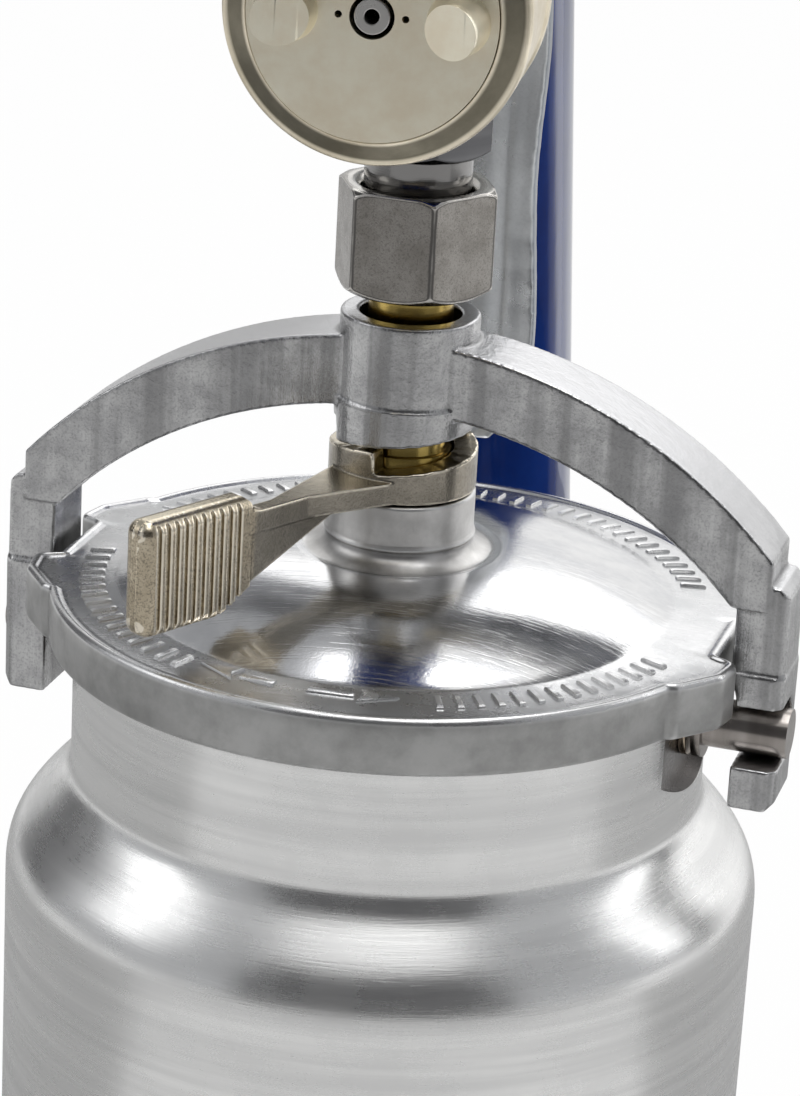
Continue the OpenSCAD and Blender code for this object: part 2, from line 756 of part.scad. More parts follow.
module coupling_nut() color("gray") translate([0, 0, lid_z]) difference() {
    intersection() {
        translate([0, 0, nut_low]) rotate([0, 0, nut_turn]) hex_bar(nut_af, nut_h);
        rotate_extrude() polygon([
            [0, nut_low], [nut_af / 2 - nut_face_in, nut_low],
            [nut_corner_r + eps, nut_low + nut_low_chamfer],
            [nut_corner_r + eps, nut_top - nut_top_chamfer],
            [nut_af / 2 - nut_face_in, nut_top], [0, nut_top]]);
    }
    translate([0, 0, nut_low - over]) cylinder(r = tube_r + run_gap, h = far);
    translate([0, 0, nut_low + nut_lip]) cylinder(r = thread_bore_r, h = far);
    translate([0, 0, nut_top - nut_mouth])
        cylinder(r1 = thread_bore_r, r2 = thread_bore_r + nut_mouth, h = nut_mouth + eps);
}

module fluid_inlet() color("silver") translate([0, 0, lid_z]) difference() {
    union() {
        translate([0, 0, inlet_low]) cylinder(d = inlet_d, h = inlet_hex_low - inlet_low);
        translate([0, 0, inlet_hex_low]) rotate([0, 0, nut_turn]) hex_bar(inlet_af, inlet_hex_h);
        translate([0, 0, inlet_hex_low]) cylinder(d = stud_d, h = gun_rise + stud_up - inlet_hex_low);
    }
    cylinder(r = paint_bore_r, h = far);
}

// Handle as one smooth body between its oval sections
module handle_shape() hull() for (row = handle_sections)
    translate([0, handle_y + handle_lean * row[1],
               handle_top - handle_slice - (handle_len - handle_slice) * row[0]])
        scale([row[2] / 2, row[3] / 2, 1]) cylinder(r = 1, h = handle_slice, $fn = 32);

// Block with a half-round top, along Y and centred on X
module round_top_block(from, to, low, top, w) {
    translate([0, 0, top - w / 2]) rod_y(from, to, w);
    translate([-w / 2, from, low]) cube([w, to - from, top - w / 2 - low]);
}

module gun_body() color("mediumblue") on_gun() difference() {
    union() {
        rod_y(-head_front, head_back, head_d);
        rod_y(-nose_front, -head_front + eps, nose_d);
        translate([0, 0, inlet_hex_low + inlet_hex_h - gun_rise + seat_gap])
            cylinder(d = inlet_af, h = gun_rise - inlet_hex_low - inlet_hex_h);
        round_top_block(bridge_nose, rear_start + over, bridge_under, bridge_top, bridge_w);
        translate([0, bridge_nose, bridge_top - bridge_w / 2]) sphere(d = bridge_w);
        translate([-bridge_w / 2, bridge_nose, 0])
            cube([bridge_w, head_back - bridge_nose, bridge_top - bridge_w / 2]);
        round_top_block(rear_start, rear_end, -rear_drop, bridge_top + rear_rise, rear_w);
        handle_shape();
    }
    rod_y(-far, -head_front + nozzle_seat, nozzle_d + 2 * seat_gap);
    rod_y(-far, head_back + over, needle_bore_d);
    translate([0, 0, -gun_rise]) cylinder(d = stud_d + 2 * seat_gap, h = gun_rise + stud_up + seat_gap);
    translate([0, 0, -gun_rise]) cylinder(r = paint_bore_r, h = gun_rise);
    rod_y(rear_start - over, rear_end + over, rear_bore_d);
    translate([0, 0, fan_up]) rod_y(rear_end - fan_bore_depth, rear_end + over, fan_bore_d);
    translate([0, 0, -valve_drop]) rod_y(0, valve_spring_end + over, valve_bore_d);
    translate([0, pivot_y, pivot_up]) rod_x(-far / 2, far / 2, pivot_d + 2 * seat_gap);
    translate([0, butt_y, butt_z - over]) cylinder(d = air_thread_d, h = air_stud_len + over);
    translate([0, butt_y, butt_z]) rotate([atan((butt_y - handle_y) / (handle_len - valve_drop)), 0, 0])
        cylinder(d = air_bore_d, h = handle_len - valve_drop);
}

module fluid_nozzle() color("silver") on_gun() difference() {
    rotate([-90, 0, 0]) rotate_extrude() polygon([
        [0, -cap_front], [nozzle_tip_d / 2, -cap_front], [nozzle_tip_d / 2, -cap_front + nozzle_tip_len],
        [nozzle_d / 2 - over, -nose_front - nozzle_step], [nozzle_d / 2, -nose_front],
        [nozzle_d / 2, -head_front + nozzle_seat - seat_gap], [0, -head_front + nozzle_seat - seat_gap]]);
    rod_y(-far, far, needle_point_d);
    rod_y(-needle_throat, far, needle_d + 2 * run_gap);
}

module air_cap() color("tan") on_gun() difference() {
    union() {
        rod_y(-lip_back, -lip_back + cap_flange_t, cap_flange_d);
        rod_y(-cap_front, -cap_back, cap_d);
        for (side = [1, -1]) translate([side * horn_x, 0, 0]) cap_horn(side);
    }
    rod_y(-far, far, nozzle_tip_d + 2 * jet_gap);
    rotate([-90, 0, 0]) translate([0, 0, -cap_front + cap_cone_start])
        cylinder(d1 = nozzle_tip_d + 2 * jet_gap, d2 = nozzle_d + cap_cone_start, h = cap_cone_len);
    rod_y(-cap_front + cap_cone_start + cap_cone_len - eps, 0, nozzle_d + cap_cone_start);
    for (side = [1, -1]) translate([side * jet_x, 0, 0])
        rod_y(-cap_front - over, -cap_front + cap_cone_len, jet_d);
}

// One horn of the air cap, slanted on the side that faces the jet
module cap_horn(side) rotate([-90, 0, 0]) intersection() {
    translate([0, 0, -cap_front - horn_len])
        cylinder(d1 = horn_tip_d, d2 = horn_root_d, h = horn_len + over);
    translate([0, 0, -cap_front - horn_len]) rotate([0, side * horn_slant, 0])
        translate([-cap_d / 2, -cap_d / 2, horn_flat]) cube([cap_d, cap_d, cap_d]);
}

module retaining_ring() color("tan") on_gun() rotate([-90, 0, 0]) rotate_extrude() polygon([
    [cap_d / 2 + run_gap, -ring_front], [retainer_d / 2 - ring_rim, -cone_back],
    [retainer_d / 2 - ring_rim / 2, -cone_back], [retainer_d / 2, -cone_back + ring_rim / 2],
    [retainer_d / 2, -ring_back - ring_chamfer], [retainer_d / 2 - ring_chamfer, -ring_back],
    [ring_bore_d / 2, -ring_back], [ring_bore_d / 2, -lip_back - run_gap],
    [cap_d / 2 + run_gap, -lip_back - run_gap]]);

module needle() color("silver") on_gun() {
    point_r = needle_point_d / 2 - run_gap / 2;
    rotate([-90, 0, 0]) rotate_extrude() polygon([
        [0, -needle_tip], [point_r, -needle_tip + needle_tip_len], [point_r, -needle_throat + run_gap],
        [needle_d / 2, -needle_throat + needle_flare], [needle_d / 2, needle_end], [0, needle_end]]);
    rod_y(collar_y, collar_y + needle_collar_len, needle_collar_d);
    rod_y(needle_shoulder - shoulder_t, needle_shoulder, needle_collar_d);
}

module packing_nut() color("silver") on_gun() difference() {
    union() {
        rod_y(head_back - packing_in, head_back + seat_gap + over, needle_bore_d - 2 * seat_gap);
        translate([0, head_back + seat_gap, 0]) rotate([-90, 0, 0]) hex_bar(packing_af, packing_len);
    }
    rod_y(-far / 2, far / 2, needle_d + 2 * run_gap);
}

module needle_spring() color("silver") on_gun()
    coil(needle_coil_d, spring_wire, needle_shoulder + spring_rest, spring_end, spring_turns);

module fluid_bush() color("goldenrod") on_gun() difference() {
    union() {
        rod_y(rear_end - bush_in, rear_end + seat_gap + over, rear_bore_d - 2 * seat_gap);
        translate([0, rear_end + seat_gap, 0]) rotate([-90, 0, 0]) hex_bar(fluid_bush_af, bush_len);
    }
    rod_y(0, far, knob_stem_d + 2 * run_gap);
}

module fluid_knob() color("silver") on_gun() {
    grooved_knob(knob_front, knob_front + knob_len, fluid_knob_d);
    rod_y(spring_end + spring_rest, knob_front + over, knob_stem_d);
}

module fan_bush() color("goldenrod") on_gun() translate([0, 0, fan_up]) difference() {
    union() {
        rod_y(rear_end - bush_in, rear_end + seat_gap + over, fan_bore_d - 2 * seat_gap);
        translate([0, rear_end + seat_gap, 0]) rotate([-90, 0, 0]) hex_bar(fan_bush_af, bush_len);
    }
    rod_y(0, far, fan_stem_d + 2 * run_gap);
}

module fan_stem() color("silver") on_gun() translate([0, 0, fan_up]) {
    stem_tip = rear_end - fan_bore_depth + over;
    rod_y(stem_tip + fan_tip_len - eps, knob_front, fan_stem_d);
    rotate([-90, 0, 0]) translate([0, 0, stem_tip])
        cylinder(d1 = fan_tip_d, d2 = fan_stem_d, h = fan_tip_len);
}

module fan_knob() color("silver") on_gun() translate([0, 0, fan_up])
    grooved_knob(knob_front + seat_gap, knob_front + knob_len - fan_knob_less, fan_knob_d);

// Middle line of the trigger's blade at a share of its length
function blade_at(t) = [blade_y + blade_bow * sin(half_turn * t) + blade_lean * t,
                        blade_top - (blade_drop + blade_top) * t];

module trigger() color("lightsteelblue") on_gun() {
    difference() {
        union() {
            intersection() {
                side_plate(trigger_w, concat(
                    [for (i = [0 : blade_steps]) blade_at(i / blade_steps)],
                    [for (i = [blade_steps : -1 : 0]) blade_at(i / blade_steps) + [blade_t, 0]]));
                blade_front();
            }
            for (side = [1, -1]) translate([side * (trigger_w - cheek_t) / 2, 0, 0]) trigger_cheek();
        }
        translate([0, pivot_y, pivot_up]) rod_x(-far / 2, far / 2, pivot_d + 2 * run_gap);
    }
    for (turn = [0, half_turn]) translate([0, crossbar_y, 0]) rotate([0, turn, 0])
        rod_x(needle_d / 2 + crossbar_gap, (trigger_w - cheek_t) / 2, crossbar_d);
}

// One side of the blade's front view, drawn in at its waist
function blade_side(side) = concat(
    [[side * trigger_w / 2, far / 2]],
    [for (i = [0 : waist_steps]) let (t = i / waist_steps)
        [side * (trigger_w / 2 - waist_in * pow(sin(half_turn * t), 2)),
         -waist_top - (waist_low - waist_top) * t]],
    [[side * trigger_w / 2, -blade_drop + blade_corner],
     [side * (trigger_w / 2 - blade_corner), -blade_drop]]);

// Front view of the blade
module blade_front() translate([0, far / 2, 0]) rotate([90, 0, 0]) linear_extrude(far) polygon(concat(
    blade_side(-1), [for (i = [waist_steps + 3 : -1 : 0]) blade_side(1)[i]]));

// One cheek of the trigger, from the pivot's eye down to the blade
module trigger_cheek() {
    translate([-cheek_t / 2, pivot_y, pivot_up]) rotate([0, 90, 0]) cylinder(r = cheek_r, h = cheek_t);
    side_plate(cheek_t, [
        [pivot_y - cheek_r, pivot_up], [pivot_y + cheek_r, pivot_up],
        [blade_y + blade_t + cheek_hem, cheek_hem], [blade_y + blade_t, blade_top - cheek_lap],
        [blade_y, blade_top - cheek_lap],
        [blade_y - cheek_lap, cheek_hem]]);
}

module trigger_pin() color("silver") on_gun() translate([0, pivot_y, pivot_up]) {
    rod_x(-trigger_w / 2 - run_gap, trigger_w / 2 + run_gap, pivot_d);
    for (side = [1, -1]) translate([side * (trigger_w / 2 + run_gap + pin_head_t / 2), 0, 0])
        rod_x(-pin_head_t / 2 - eps, pin_head_t / 2 + eps, pin_head_d);
}

module air_valve_gland() color("silver") on_gun() translate([0, 0, -valve_drop]) difference() {
    union() {
        rod_y(gland_front + gland_hex_t - over, gland_back, valve_bore_d - 2 * seat_gap);
        translate([0, gland_front, 0]) rotate([-90, 0, 0]) hex_bar(gland_af, gland_hex_t);
    }
    rod_y(0, far, valve_d + 2 * run_gap);
}

module air_valve_stem() color("silver") on_gun() translate([0, 0, -valve_drop]) {
    rod_y(valve_front, valve_seat_y + eps, valve_d);
    rod_y(gland_back + run_gap, valve_seat_y, valve_disc_d);
}

module air_valve_spring() color("silver") on_gun() translate([0, 0, -valve_drop])
    coil(valve_coil_d, spring_wire, valve_seat_y + spring_rest, valve_spring_end,
         spring_turns - valve_turns_less);

module air_inlet() color("silver") on_gun() translate([0, butt_y, butt_z]) difference() {
    union() {
        cylinder(d = air_thread_d - 2 * seat_gap, h = air_stud_len - over);
        translate([0, 0, -air_hex_h - seat_gap]) hex_bar(air_af, air_hex_h);
        translate([0, 0, -air_hex_h - air_thread_len])
            cylinder(d = air_thread_d, h = air_thread_len + air_hex_h);
    }
    translate([0, 0, -far / 2]) cylinder(d = air_bore_d, h = far);
}

cup();
cup_pins();
pin_washers();
lid_gasket();
lid();
yoke();
cam_lever();
fluid_tube();
tube_lock_nut();
dip_tube();
coupling_nut();
fluid_inlet();
gun_body();
fluid_nozzle();
air_cap();
retaining_ring();
needle();
packing_nut();
needle_spring();
fluid_bush();
fluid_knob();
fan_bush();
fan_stem();
fan_knob();
trigger();
trigger_pin();
air_valve_gland();
air_valve_stem();
air_valve_spring();
air_inlet();
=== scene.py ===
# %% [markdown]
# A hand spray gun stands on its paint pot. The pot's lid is held by a yoke with two hooks, and a small
# cam lever with a ribbed thumb pad lifts the yoke. Most of what shows is bare metal: spun, cast, turned
# and plated, and only the gun's body is painted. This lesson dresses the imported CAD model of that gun.
# It loads the model first, because every piece made later sits where the model says.

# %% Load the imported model
import math

import bmesh
import bpy
import numpy as np
from mathutils import Matrix, Vector


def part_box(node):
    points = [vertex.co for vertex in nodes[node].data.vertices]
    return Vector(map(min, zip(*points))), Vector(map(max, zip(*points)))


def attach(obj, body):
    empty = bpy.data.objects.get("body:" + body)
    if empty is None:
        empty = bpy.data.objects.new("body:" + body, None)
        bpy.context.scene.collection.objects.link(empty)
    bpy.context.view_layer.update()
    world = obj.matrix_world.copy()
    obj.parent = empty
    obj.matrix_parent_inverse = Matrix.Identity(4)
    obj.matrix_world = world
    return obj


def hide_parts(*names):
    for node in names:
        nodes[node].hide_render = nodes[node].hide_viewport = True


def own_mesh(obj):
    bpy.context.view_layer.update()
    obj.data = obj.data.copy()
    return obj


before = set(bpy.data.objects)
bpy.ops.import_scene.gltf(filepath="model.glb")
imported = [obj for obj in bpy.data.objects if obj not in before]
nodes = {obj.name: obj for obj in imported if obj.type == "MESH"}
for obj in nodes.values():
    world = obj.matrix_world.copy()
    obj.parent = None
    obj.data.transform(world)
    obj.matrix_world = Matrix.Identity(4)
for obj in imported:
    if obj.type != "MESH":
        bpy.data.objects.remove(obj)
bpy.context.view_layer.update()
scene = bpy.context.scene
scene.view_settings.view_transform = "Standard"
MM = 0.001

# %% [markdown]
# The camera comes next, because every later choice is judged through it. It looks slightly down on the
# lid from a little over half a metre, with a long lens, as product pictures are taken. Its turn is given
# as the elevation it looks down by, then small turns to the side, up and about its own axis.

# %% Camera
EYE = Vector((0.07858, -0.52578, 0.32046))
AROUND, DOWN, SIDE, UP, ROLL = (math.radians(a) for a in (8.5, 20.77, -0.03, -0.60, 3.13))
LENS = 119.51


def turned(angle, axis):
    return np.array(Matrix.Rotation(angle, 3, axis))


forward = np.array((0.0, math.cos(DOWN), -math.sin(DOWN)))
rightward = np.array((1.0, 0.0, 0.0))
looking = np.array((rightward, np.cross(forward, rightward), forward))
looking = turned(ROLL, "Z") @ turned(UP, "X") @ turned(SIDE, "Y") @ looking
looking = looking @ turned(AROUND, "Z").T
camera_data = bpy.data.cameras.new("camera")
camera_data.lens = LENS
camera_data.sensor_width = 36.0
camera = bpy.data.objects.new("camera", camera_data)
scene.collection.objects.link(camera)
camera.matrix_world = Matrix.Translation(EYE) @ Matrix(
    (looking[0], -looking[1], -looking[2])).transposed().to_4x4()
scene.camera = camera
print("camera looks from", [round(v, 3) for v in EYE])

# %% [markdown]
# The stage is a wide pale floor under a white surround. Both look plain white to the camera and in a mirror,
# but they shed less light on the gun than they seem to, so that pale metal keeps its greys. A few small
# helpers come first: they link an object, wire up a node, and tell rays that see a thing from rays that
# only light it.

# %% Floor and surround
def link(obj):
    scene.collection.objects.link(obj)
    return obj


def feed(tree, socket, value):
    if isinstance(value, (int, float)):
        socket.default_value = value
    else:
        tree.links.new(value, socket)


def math_node(tree, operation, a, b, clamp=False):
    node = tree.nodes.new("ShaderNodeMath")
    node.operation = operation
    node.use_clamp = clamp
    feed(tree, node.inputs[0], a)
    feed(tree, node.inputs[1], b)
    return node.outputs[0]


def plain_material(name):
    """A new material, its node tree and its shader."""
    material = bpy.data.materials.new(name)
    material.use_nodes = True
    return material, material.node_tree, material.node_tree.nodes["Principled BSDF"]


def seen_directly(tree):
    """1 for rays that see the surface, from the camera or in a mirror, and 0 for light that it sheds."""
    path = tree.nodes.new("ShaderNodeLightPath").outputs
    mirrored = math_node(tree, "MAXIMUM", path["Is Camera Ray"], path["Is Glossy Ray"])
    return math_node(tree, "MAXIMUM", mirrored, path["Is Transmission Ray"])


def mix_shaders(tree, share, first, second, end):
    mix = tree.nodes.new("ShaderNodeMixShader")
    for socket, value in zip(mix.inputs, (share, first.outputs[0], second.outputs[0])):
        tree.links.new(value, socket)
    tree.links.new(mix.outputs[0], end.inputs["Surface"])


GLOW_STRENGTH, FLOOR_WHITE, FLOOR_DROP = 0.45, 0.97, 0.0002
world = bpy.data.worlds.new("surround")
scene.world = world
world.use_nodes = True
tree = world.node_tree
tree.nodes.clear()
shown = tree.nodes.new("ShaderNodeBackground")
glow = tree.nodes.new("ShaderNodeBackground")
for node, strength in ((shown, 1.0), (glow, GLOW_STRENGTH)):
    node.inputs["Color"].default_value = (1, 1, 1, 1)
    node.inputs["Strength"].default_value = strength
mix_shaders(tree, seen_directly(tree), glow, shown, tree.nodes.new("ShaderNodeOutputWorld"))

floor_mesh = bpy.data.meshes.new("floor")
floor_mesh.from_pydata([(-4, -4, 0), (4, -4, 0), (4, 4, 0), (-4, 4, 0)], [], [(0, 1, 2, 3)])
floor = link(bpy.data.objects.new("floor", floor_mesh))
floor.location.z = -FLOOR_DROP
pale, tree, shader = plain_material("pale_floor")
shader.inputs["Base Color"].default_value = (0.88, 0.88, 0.88, 1)
shader.inputs["Roughness"].default_value = 0.9
white_share = math_node(tree, "MULTIPLY", seen_directly(tree), FLOOR_WHITE)
mix_shaders(tree, white_share, shader, tree.nodes.new("ShaderNodeEmission"), tree.nodes["Material Output"])
floor_mesh.materials.append(pale)
print("floor is", [round(v, 1) for v in floor.dimensions[:2]], "metres")

# %% [markdown]
# Bare metal is a mirror of the room, so the room matters more here than on a painted thing. A studio
# photographer shapes a mirror's shine with cards. A pale cloth on the table in front and darker ones behind
# keep the upright faces grey, a dark room stands behind the camera, and two dark flags beside the gun draw
# its outline. A grey tent hangs over the rest, with a gap at the back right, where the white surround shows
# in the lid's dome. The camera sees none of them, and they throw no shadow.

# %% Cards
TO_CAMERA = math.atan2(EYE.y, EYE.x)
CARD_STEPS = 24


def studio_card(name, turn_from, turn_to, edge, shade):
    """A bent card round the object, between two turns from the camera's side, through (radius, height)."""
    points, faces = [], []
    for i in range(CARD_STEPS + 1):
        a = TO_CAMERA + math.radians(turn_from + (turn_to - turn_from) * i / CARD_STEPS)
        points += [(r * math.cos(a), r * math.sin(a), z) for r, z in edge]
    width = len(edge)
    for i in range(CARD_STEPS):
        for k in range(width - 1):
            a, b = width * i + k, width * (i + 1) + k
            faces.append((a, b, b + 1, a + 1))
    mesh = bpy.data.meshes.new(name)
    mesh.from_pydata(points, [], faces)
    material, _, shader = plain_material(name)
    shader.inputs["Base Color"].default_value = (*shade, 1)
    shader.inputs["Roughness"].default_value = 0.95
    mesh.materials.append(material)
    card = link(bpy.data.objects.new(name, mesh))
    card.visible_camera = False
    card.visible_shadow = False
    card.visible_diffuse = False


NEAR = [(0.075, 0.0005), (0.39, 0.0005)]
AWAY = [(0.39, 0.0005), (1.49, 0.0005)]
FLAG = [(0.9, 0.0), (0.9, 0.75)]
TENT = [(1.7, 0.0), (1.7, 1.2), (1.1, 1.7), (0.0, 1.8)]
FLAG_BLACK, TENT_GREY = (0.14, 0.14, 0.145), (0.72, 0.73, 0.75)
CARDS = [
    ("dark_room", -40, 40, [(1.5, 0.0), (1.5, 0.9), (1.1, 1.3)], (0.15, 0.15, 0.155)),
    ("pale_cloth", -65, 75, NEAR + AWAY[1:], (0.74, 0.74, 0.74)),
    ("grey_cloth", 75, 295, NEAR, (0.46, 0.46, 0.46)),
    ("white_cloth", 140, 295, AWAY, (0.90, 0.90, 0.90)),
    ("back_wall", 184, 220, [(1.3, 0.0), (1.3, 1.2)], (0.82, 0.82, 0.82)),
    ("left_flag", -138, -108, FLAG, FLAG_BLACK),
    ("right_flag", 100, 116, FLAG, FLAG_BLACK),
    ("right_tent", 40, 116, TENT, TENT_GREY),
    ("left_tent", 184, 320, TENT, TENT_GREY),
]
for card in CARDS:
    studio_card(*card)
print("hung", len(CARDS), "cards")

# %% [markdown]
# The light itself is soft: a wide lamp overhead makes the bright band on the cup's shoulder, and three
# weaker ones at the left, the right and the back lift the edges. Each lamp is a glowing rectangle, because
# a small bright lamp would show as a hard dot in so much metal.

# %% Lamps
def soft_lamp(name, place, aim, size, watts):
    data = bpy.data.lights.new(name, "AREA")
    data.shape = "RECTANGLE"
    data.size, data.size_y = size
    data.energy = watts
    lamp = link(bpy.data.objects.new(name, data))
    lamp.location = place
    lamp.rotation_euler = (Vector(aim) - Vector(place)).to_track_quat("-Z", "Y").to_euler()
    lamp.visible_camera = False


LAMPS = [
    ("ceiling", (0.05, 0.0, 1.3), (0, 0, 0.1), (1.0, 0.7), 6),
    ("left_window", (-0.92, -0.22, 0.70), (0, 0, 0.12), (0.45, 0.6), 1.0),
    ("right_window", (0.92, 0.40, 0.55), (0, 0, 0.12), (0.55, 0.7), 2.1),
    ("back_window", (0.03, 0.98, 0.81), (0, 0, 0.12), (1.3, 0.4), 1.5),
]
for lamp in LAMPS:
    soft_lamp(*lamp)
print("lit", len(LAMPS), "soft lamps")

# %% [markdown]
# Several finishes share the same small effects, so each effect is one shader node group: a mask of edges,
# for wear and for painted lines along them, a mask of hollows, which are made darker, the mottle of a
# casting, the fine lines that a lathe or a belt leaves, stray scratches, a mask of the faces that look up,
# which some finishes paint lighter as a painted highlight, and the distance from a piece's axis. A group puts
# out plain values, and each material decides what to do with them.

# %% Shared effects as node groups
def new_group(name, inputs, outputs):
    group = bpy.data.node_groups.new(name, "ShaderNodeTree")
    for label, kind, value in inputs:
        socket = group.interface.new_socket(name=label, in_out="INPUT", socket_type=kind)
        socket.default_value = value
    for label, kind in outputs:
        group.interface.new_socket(name=label, in_out="OUTPUT", socket_type=kind)
    return group, group.nodes.new("NodeGroupInput"), group.nodes.new("NodeGroupOutput")


def noise_node(tree, vector, scale, detail=3.0, rough=0.5):
    node = tree.nodes.new("ShaderNodeTexNoise")
    node.inputs["Detail"].default_value = detail
    node.inputs["Roughness"].default_value = rough
    tree.links.new(vector, node.inputs["Vector"])
    feed(tree, node.inputs["Scale"], scale)
    return node.outputs["Fac"]


def ramp_node(tree, value, low, high):
    node = tree.nodes.new("ShaderNodeMapRange")
    node.interpolation_type = "SMOOTHSTEP"
    tree.links.new(value, node.inputs["Value"])
    feed(tree, node.inputs["From Min"], low)
    feed(tree, node.inputs["From Max"], high)
    return node.outputs["Result"]


def vector_node(tree, operation, *values):
    node = tree.nodes.new("ShaderNodeVectorMath")
    node.operation = operation
    for socket, value in zip(node.inputs, values):
        tree.links.new(value, socket)
    return node.outputs


def object_place(tree):
    return tree.nodes.new("ShaderNodeTexCoord").outputs["Object"]


def facing_way(tree):
    return tree.nodes.new("ShaderNodeNewGeometry").outputs["Normal"]


def axis_value(tree, vector, letter):
    node = tree.nodes.new("ShaderNodeSeparateXYZ")
    tree.links.new(vector, node.inputs[0])
    return node.outputs[letter]


F, V = "NodeSocketFloat", "NodeSocketVector"

# Convex edges: rubbed metal on most finishes, painted dark and light lines on the coupling nut.
edge_wear_and_lines, take, give = new_group(
    "edge_wear_and_painted_lines", [("Start", F, 0.2), ("Full", F, 0.6), ("Patchiness", F, 0.4)], [("Mask", F)])
convex = edge_wear_and_lines.nodes.new("ShaderNodeAttribute")
convex.attribute_name = "convex"
patches = noise_node(edge_wear_and_lines, object_place(edge_wear_and_lines), 260.0, 4.0, 0.6)
shift = math_node(edge_wear_and_lines, "MULTIPLY", math_node(edge_wear_and_lines, "SUBTRACT", patches, 0.5), take.outputs["Patchiness"])
edge = math_node(edge_wear_and_lines, "ADD", convex.outputs["Fac"], shift)
edge_wear_and_lines.links.new(ramp_node(edge_wear_and_lines, edge, take.outputs["Start"], take.outputs["Full"]), give.inputs["Mask"])

# Points in hollows are made darker.
hollow_darkening, take, give = new_group("darker_hollows", [("Start", F, 0.15), ("Full", F, 0.6)], [("Mask", F)])
hollow = hollow_darkening.nodes.new("ShaderNodeAttribute")
hollow.attribute_name = "hollow"
patches = noise_node(hollow_darkening, object_place(hollow_darkening), 180.0)
hollow_dark = math_node(hollow_darkening, "ADD", hollow.outputs["Fac"],
                 math_node(hollow_darkening, "MULTIPLY", math_node(hollow_darkening, "SUBTRACT", patches, 0.5), 0.3))
hollow_darkening.links.new(ramp_node(hollow_darkening, hollow_dark, take.outputs["Start"], take.outputs["Full"]), give.inputs["Mask"])

mottle, take, give = new_group(
    "cast_mottle", [("Patch Scale", F, 90.0), ("Grain Scale", F, 1500.0)], [("Patches", F), ("Grain", F)])
cloud = noise_node(mottle, object_place(mottle), take.outputs["Patch Scale"], 6.0, 0.66)
mottle.links.new(ramp_node(mottle, cloud, 0.32, 0.68), give.inputs["Patches"])
mottle.links.new(noise_node(mottle, object_place(mottle), take.outputs["Grain Scale"], 3.0, 0.65),
                 give.inputs["Grain"])

tool_lines, take, give = new_group(
    "tool_lines", [("Fineness", F, 1.0), ("Across", V, (0.02, 0.02, 1.0))], [("Lines", F), ("Bands", F)])
spread = vector_node(tool_lines, "MULTIPLY", object_place(tool_lines), take.outputs["Across"])[0]
fine = math_node(tool_lines, "MULTIPLY", take.outputs["Fineness"], 4200.0)
broad = math_node(tool_lines, "MULTIPLY", take.outputs["Fineness"], 420.0)
tool_lines.links.new(noise_node(tool_lines, spread, fine, 3.0, 0.6), give.inputs["Lines"])
tool_lines.links.new(noise_node(tool_lines, spread, broad, 3.0, 0.55), give.inputs["Bands"])

scratches, take, give = new_group(
    "stray_scratches", [("Fineness", F, 1.0), ("Amount", F, 0.5)], [("Mask", F)])
marks = None
for turn in (0.3, 1.1, 1.9, 2.7):
    swing = scratches.nodes.new("ShaderNodeMapping")
    swing.inputs["Rotation"].default_value = (0.1, 0.1, turn)
    swing.inputs["Scale"].default_value = (1.0, 34.0, 4.0)
    scratches.links.new(object_place(scratches), swing.inputs["Vector"])
    size = math_node(scratches, "MULTIPLY", take.outputs["Fineness"], 70.0)
    one = ramp_node(scratches, noise_node(scratches, swing.outputs["Vector"], size, 2.0), 0.62, 0.72)
    marks = one if marks is None else math_node(scratches, "MAXIMUM", marks, one)
scratches.links.new(math_node(scratches, "MULTIPLY", marks, take.outputs["Amount"]), give.inputs["Mask"])

# Faces that look up, which some finishes paint lighter as a painted highlight.
tops, take, give = new_group("upward_faces", [("Start", F, 0.55), ("Full", F, 0.85)], [("Mask", F)])
upward = axis_value(tops, facing_way(tops), "Z")
tops.links.new(ramp_node(tops, upward, take.outputs["Start"], take.outputs["Full"]), give.inputs["Mask"])

ring_distance, take, give = new_group(
    "distance_from_axis", [("Centre", V, (0, 0, 0)), ("Keep", V, (1, 1, 0))], [("Radius", F)])
offset = vector_node(ring_distance, "SUBTRACT", object_place(ring_distance), take.outputs["Centre"])[0]
flat = vector_node(ring_distance, "MULTIPLY", offset, take.outputs["Keep"])[0]
ring_distance.links.new(vector_node(ring_distance, "LENGTH", flat)["Value"], give.inputs["Radius"])
print("made", len(bpy.data.node_groups), "node groups")

# %% [markdown]
# A finish is a Principled shader whose colour, roughness and bump come from those groups. Small helpers
# place a group with its own values, mix two colours by a mask, or lay one more colour over a finish that is
# already made. Constant numbers, such as a metal's metallic value, are set on the shader itself. Two recipes
# then cover most of the gun: cast or plated metal, and turned metal.

# %% Material helpers
def place_group(tree, group, **values):
    node = tree.nodes.new("ShaderNodeGroup")
    node.node_tree = group
    for label, value in values.items():
        node.inputs[label.replace("_", " ")].default_value = value
    return node.outputs


def blend_colours(tree, mask, first, second):
    node = tree.nodes.new("ShaderNodeMix")
    node.data_type = "RGBA"
    feed(tree, node.inputs[0], mask)
    for socket, value in ((node.inputs[6], first), (node.inputs[7], second)):
        if isinstance(value, tuple):
            socket.default_value = (*value, 1.0)
        else:
            tree.links.new(value, socket)
    return node.outputs[2]


def blend_values(tree, mask, first, second):
    node = tree.nodes.new("ShaderNodeMix")
    node.data_type = "FLOAT"
    feed(tree, node.inputs[0], mask)
    feed(tree, node.inputs[2], first)
    feed(tree, node.inputs[3], second)
    return node.outputs[0]


def bump_node(tree, height, strength, distance):
    node = tree.nodes.new("ShaderNodeBump")
    node.inputs["Strength"].default_value = strength
    node.inputs["Distance"].default_value = distance
    tree.links.new(height, node.inputs["Height"])
    return node.outputs["Normal"]


def start_finish(name, metallic):
    material, tree, shader = plain_material(name)
    shader.inputs["Metallic"].default_value = metallic
    return material, tree, shader


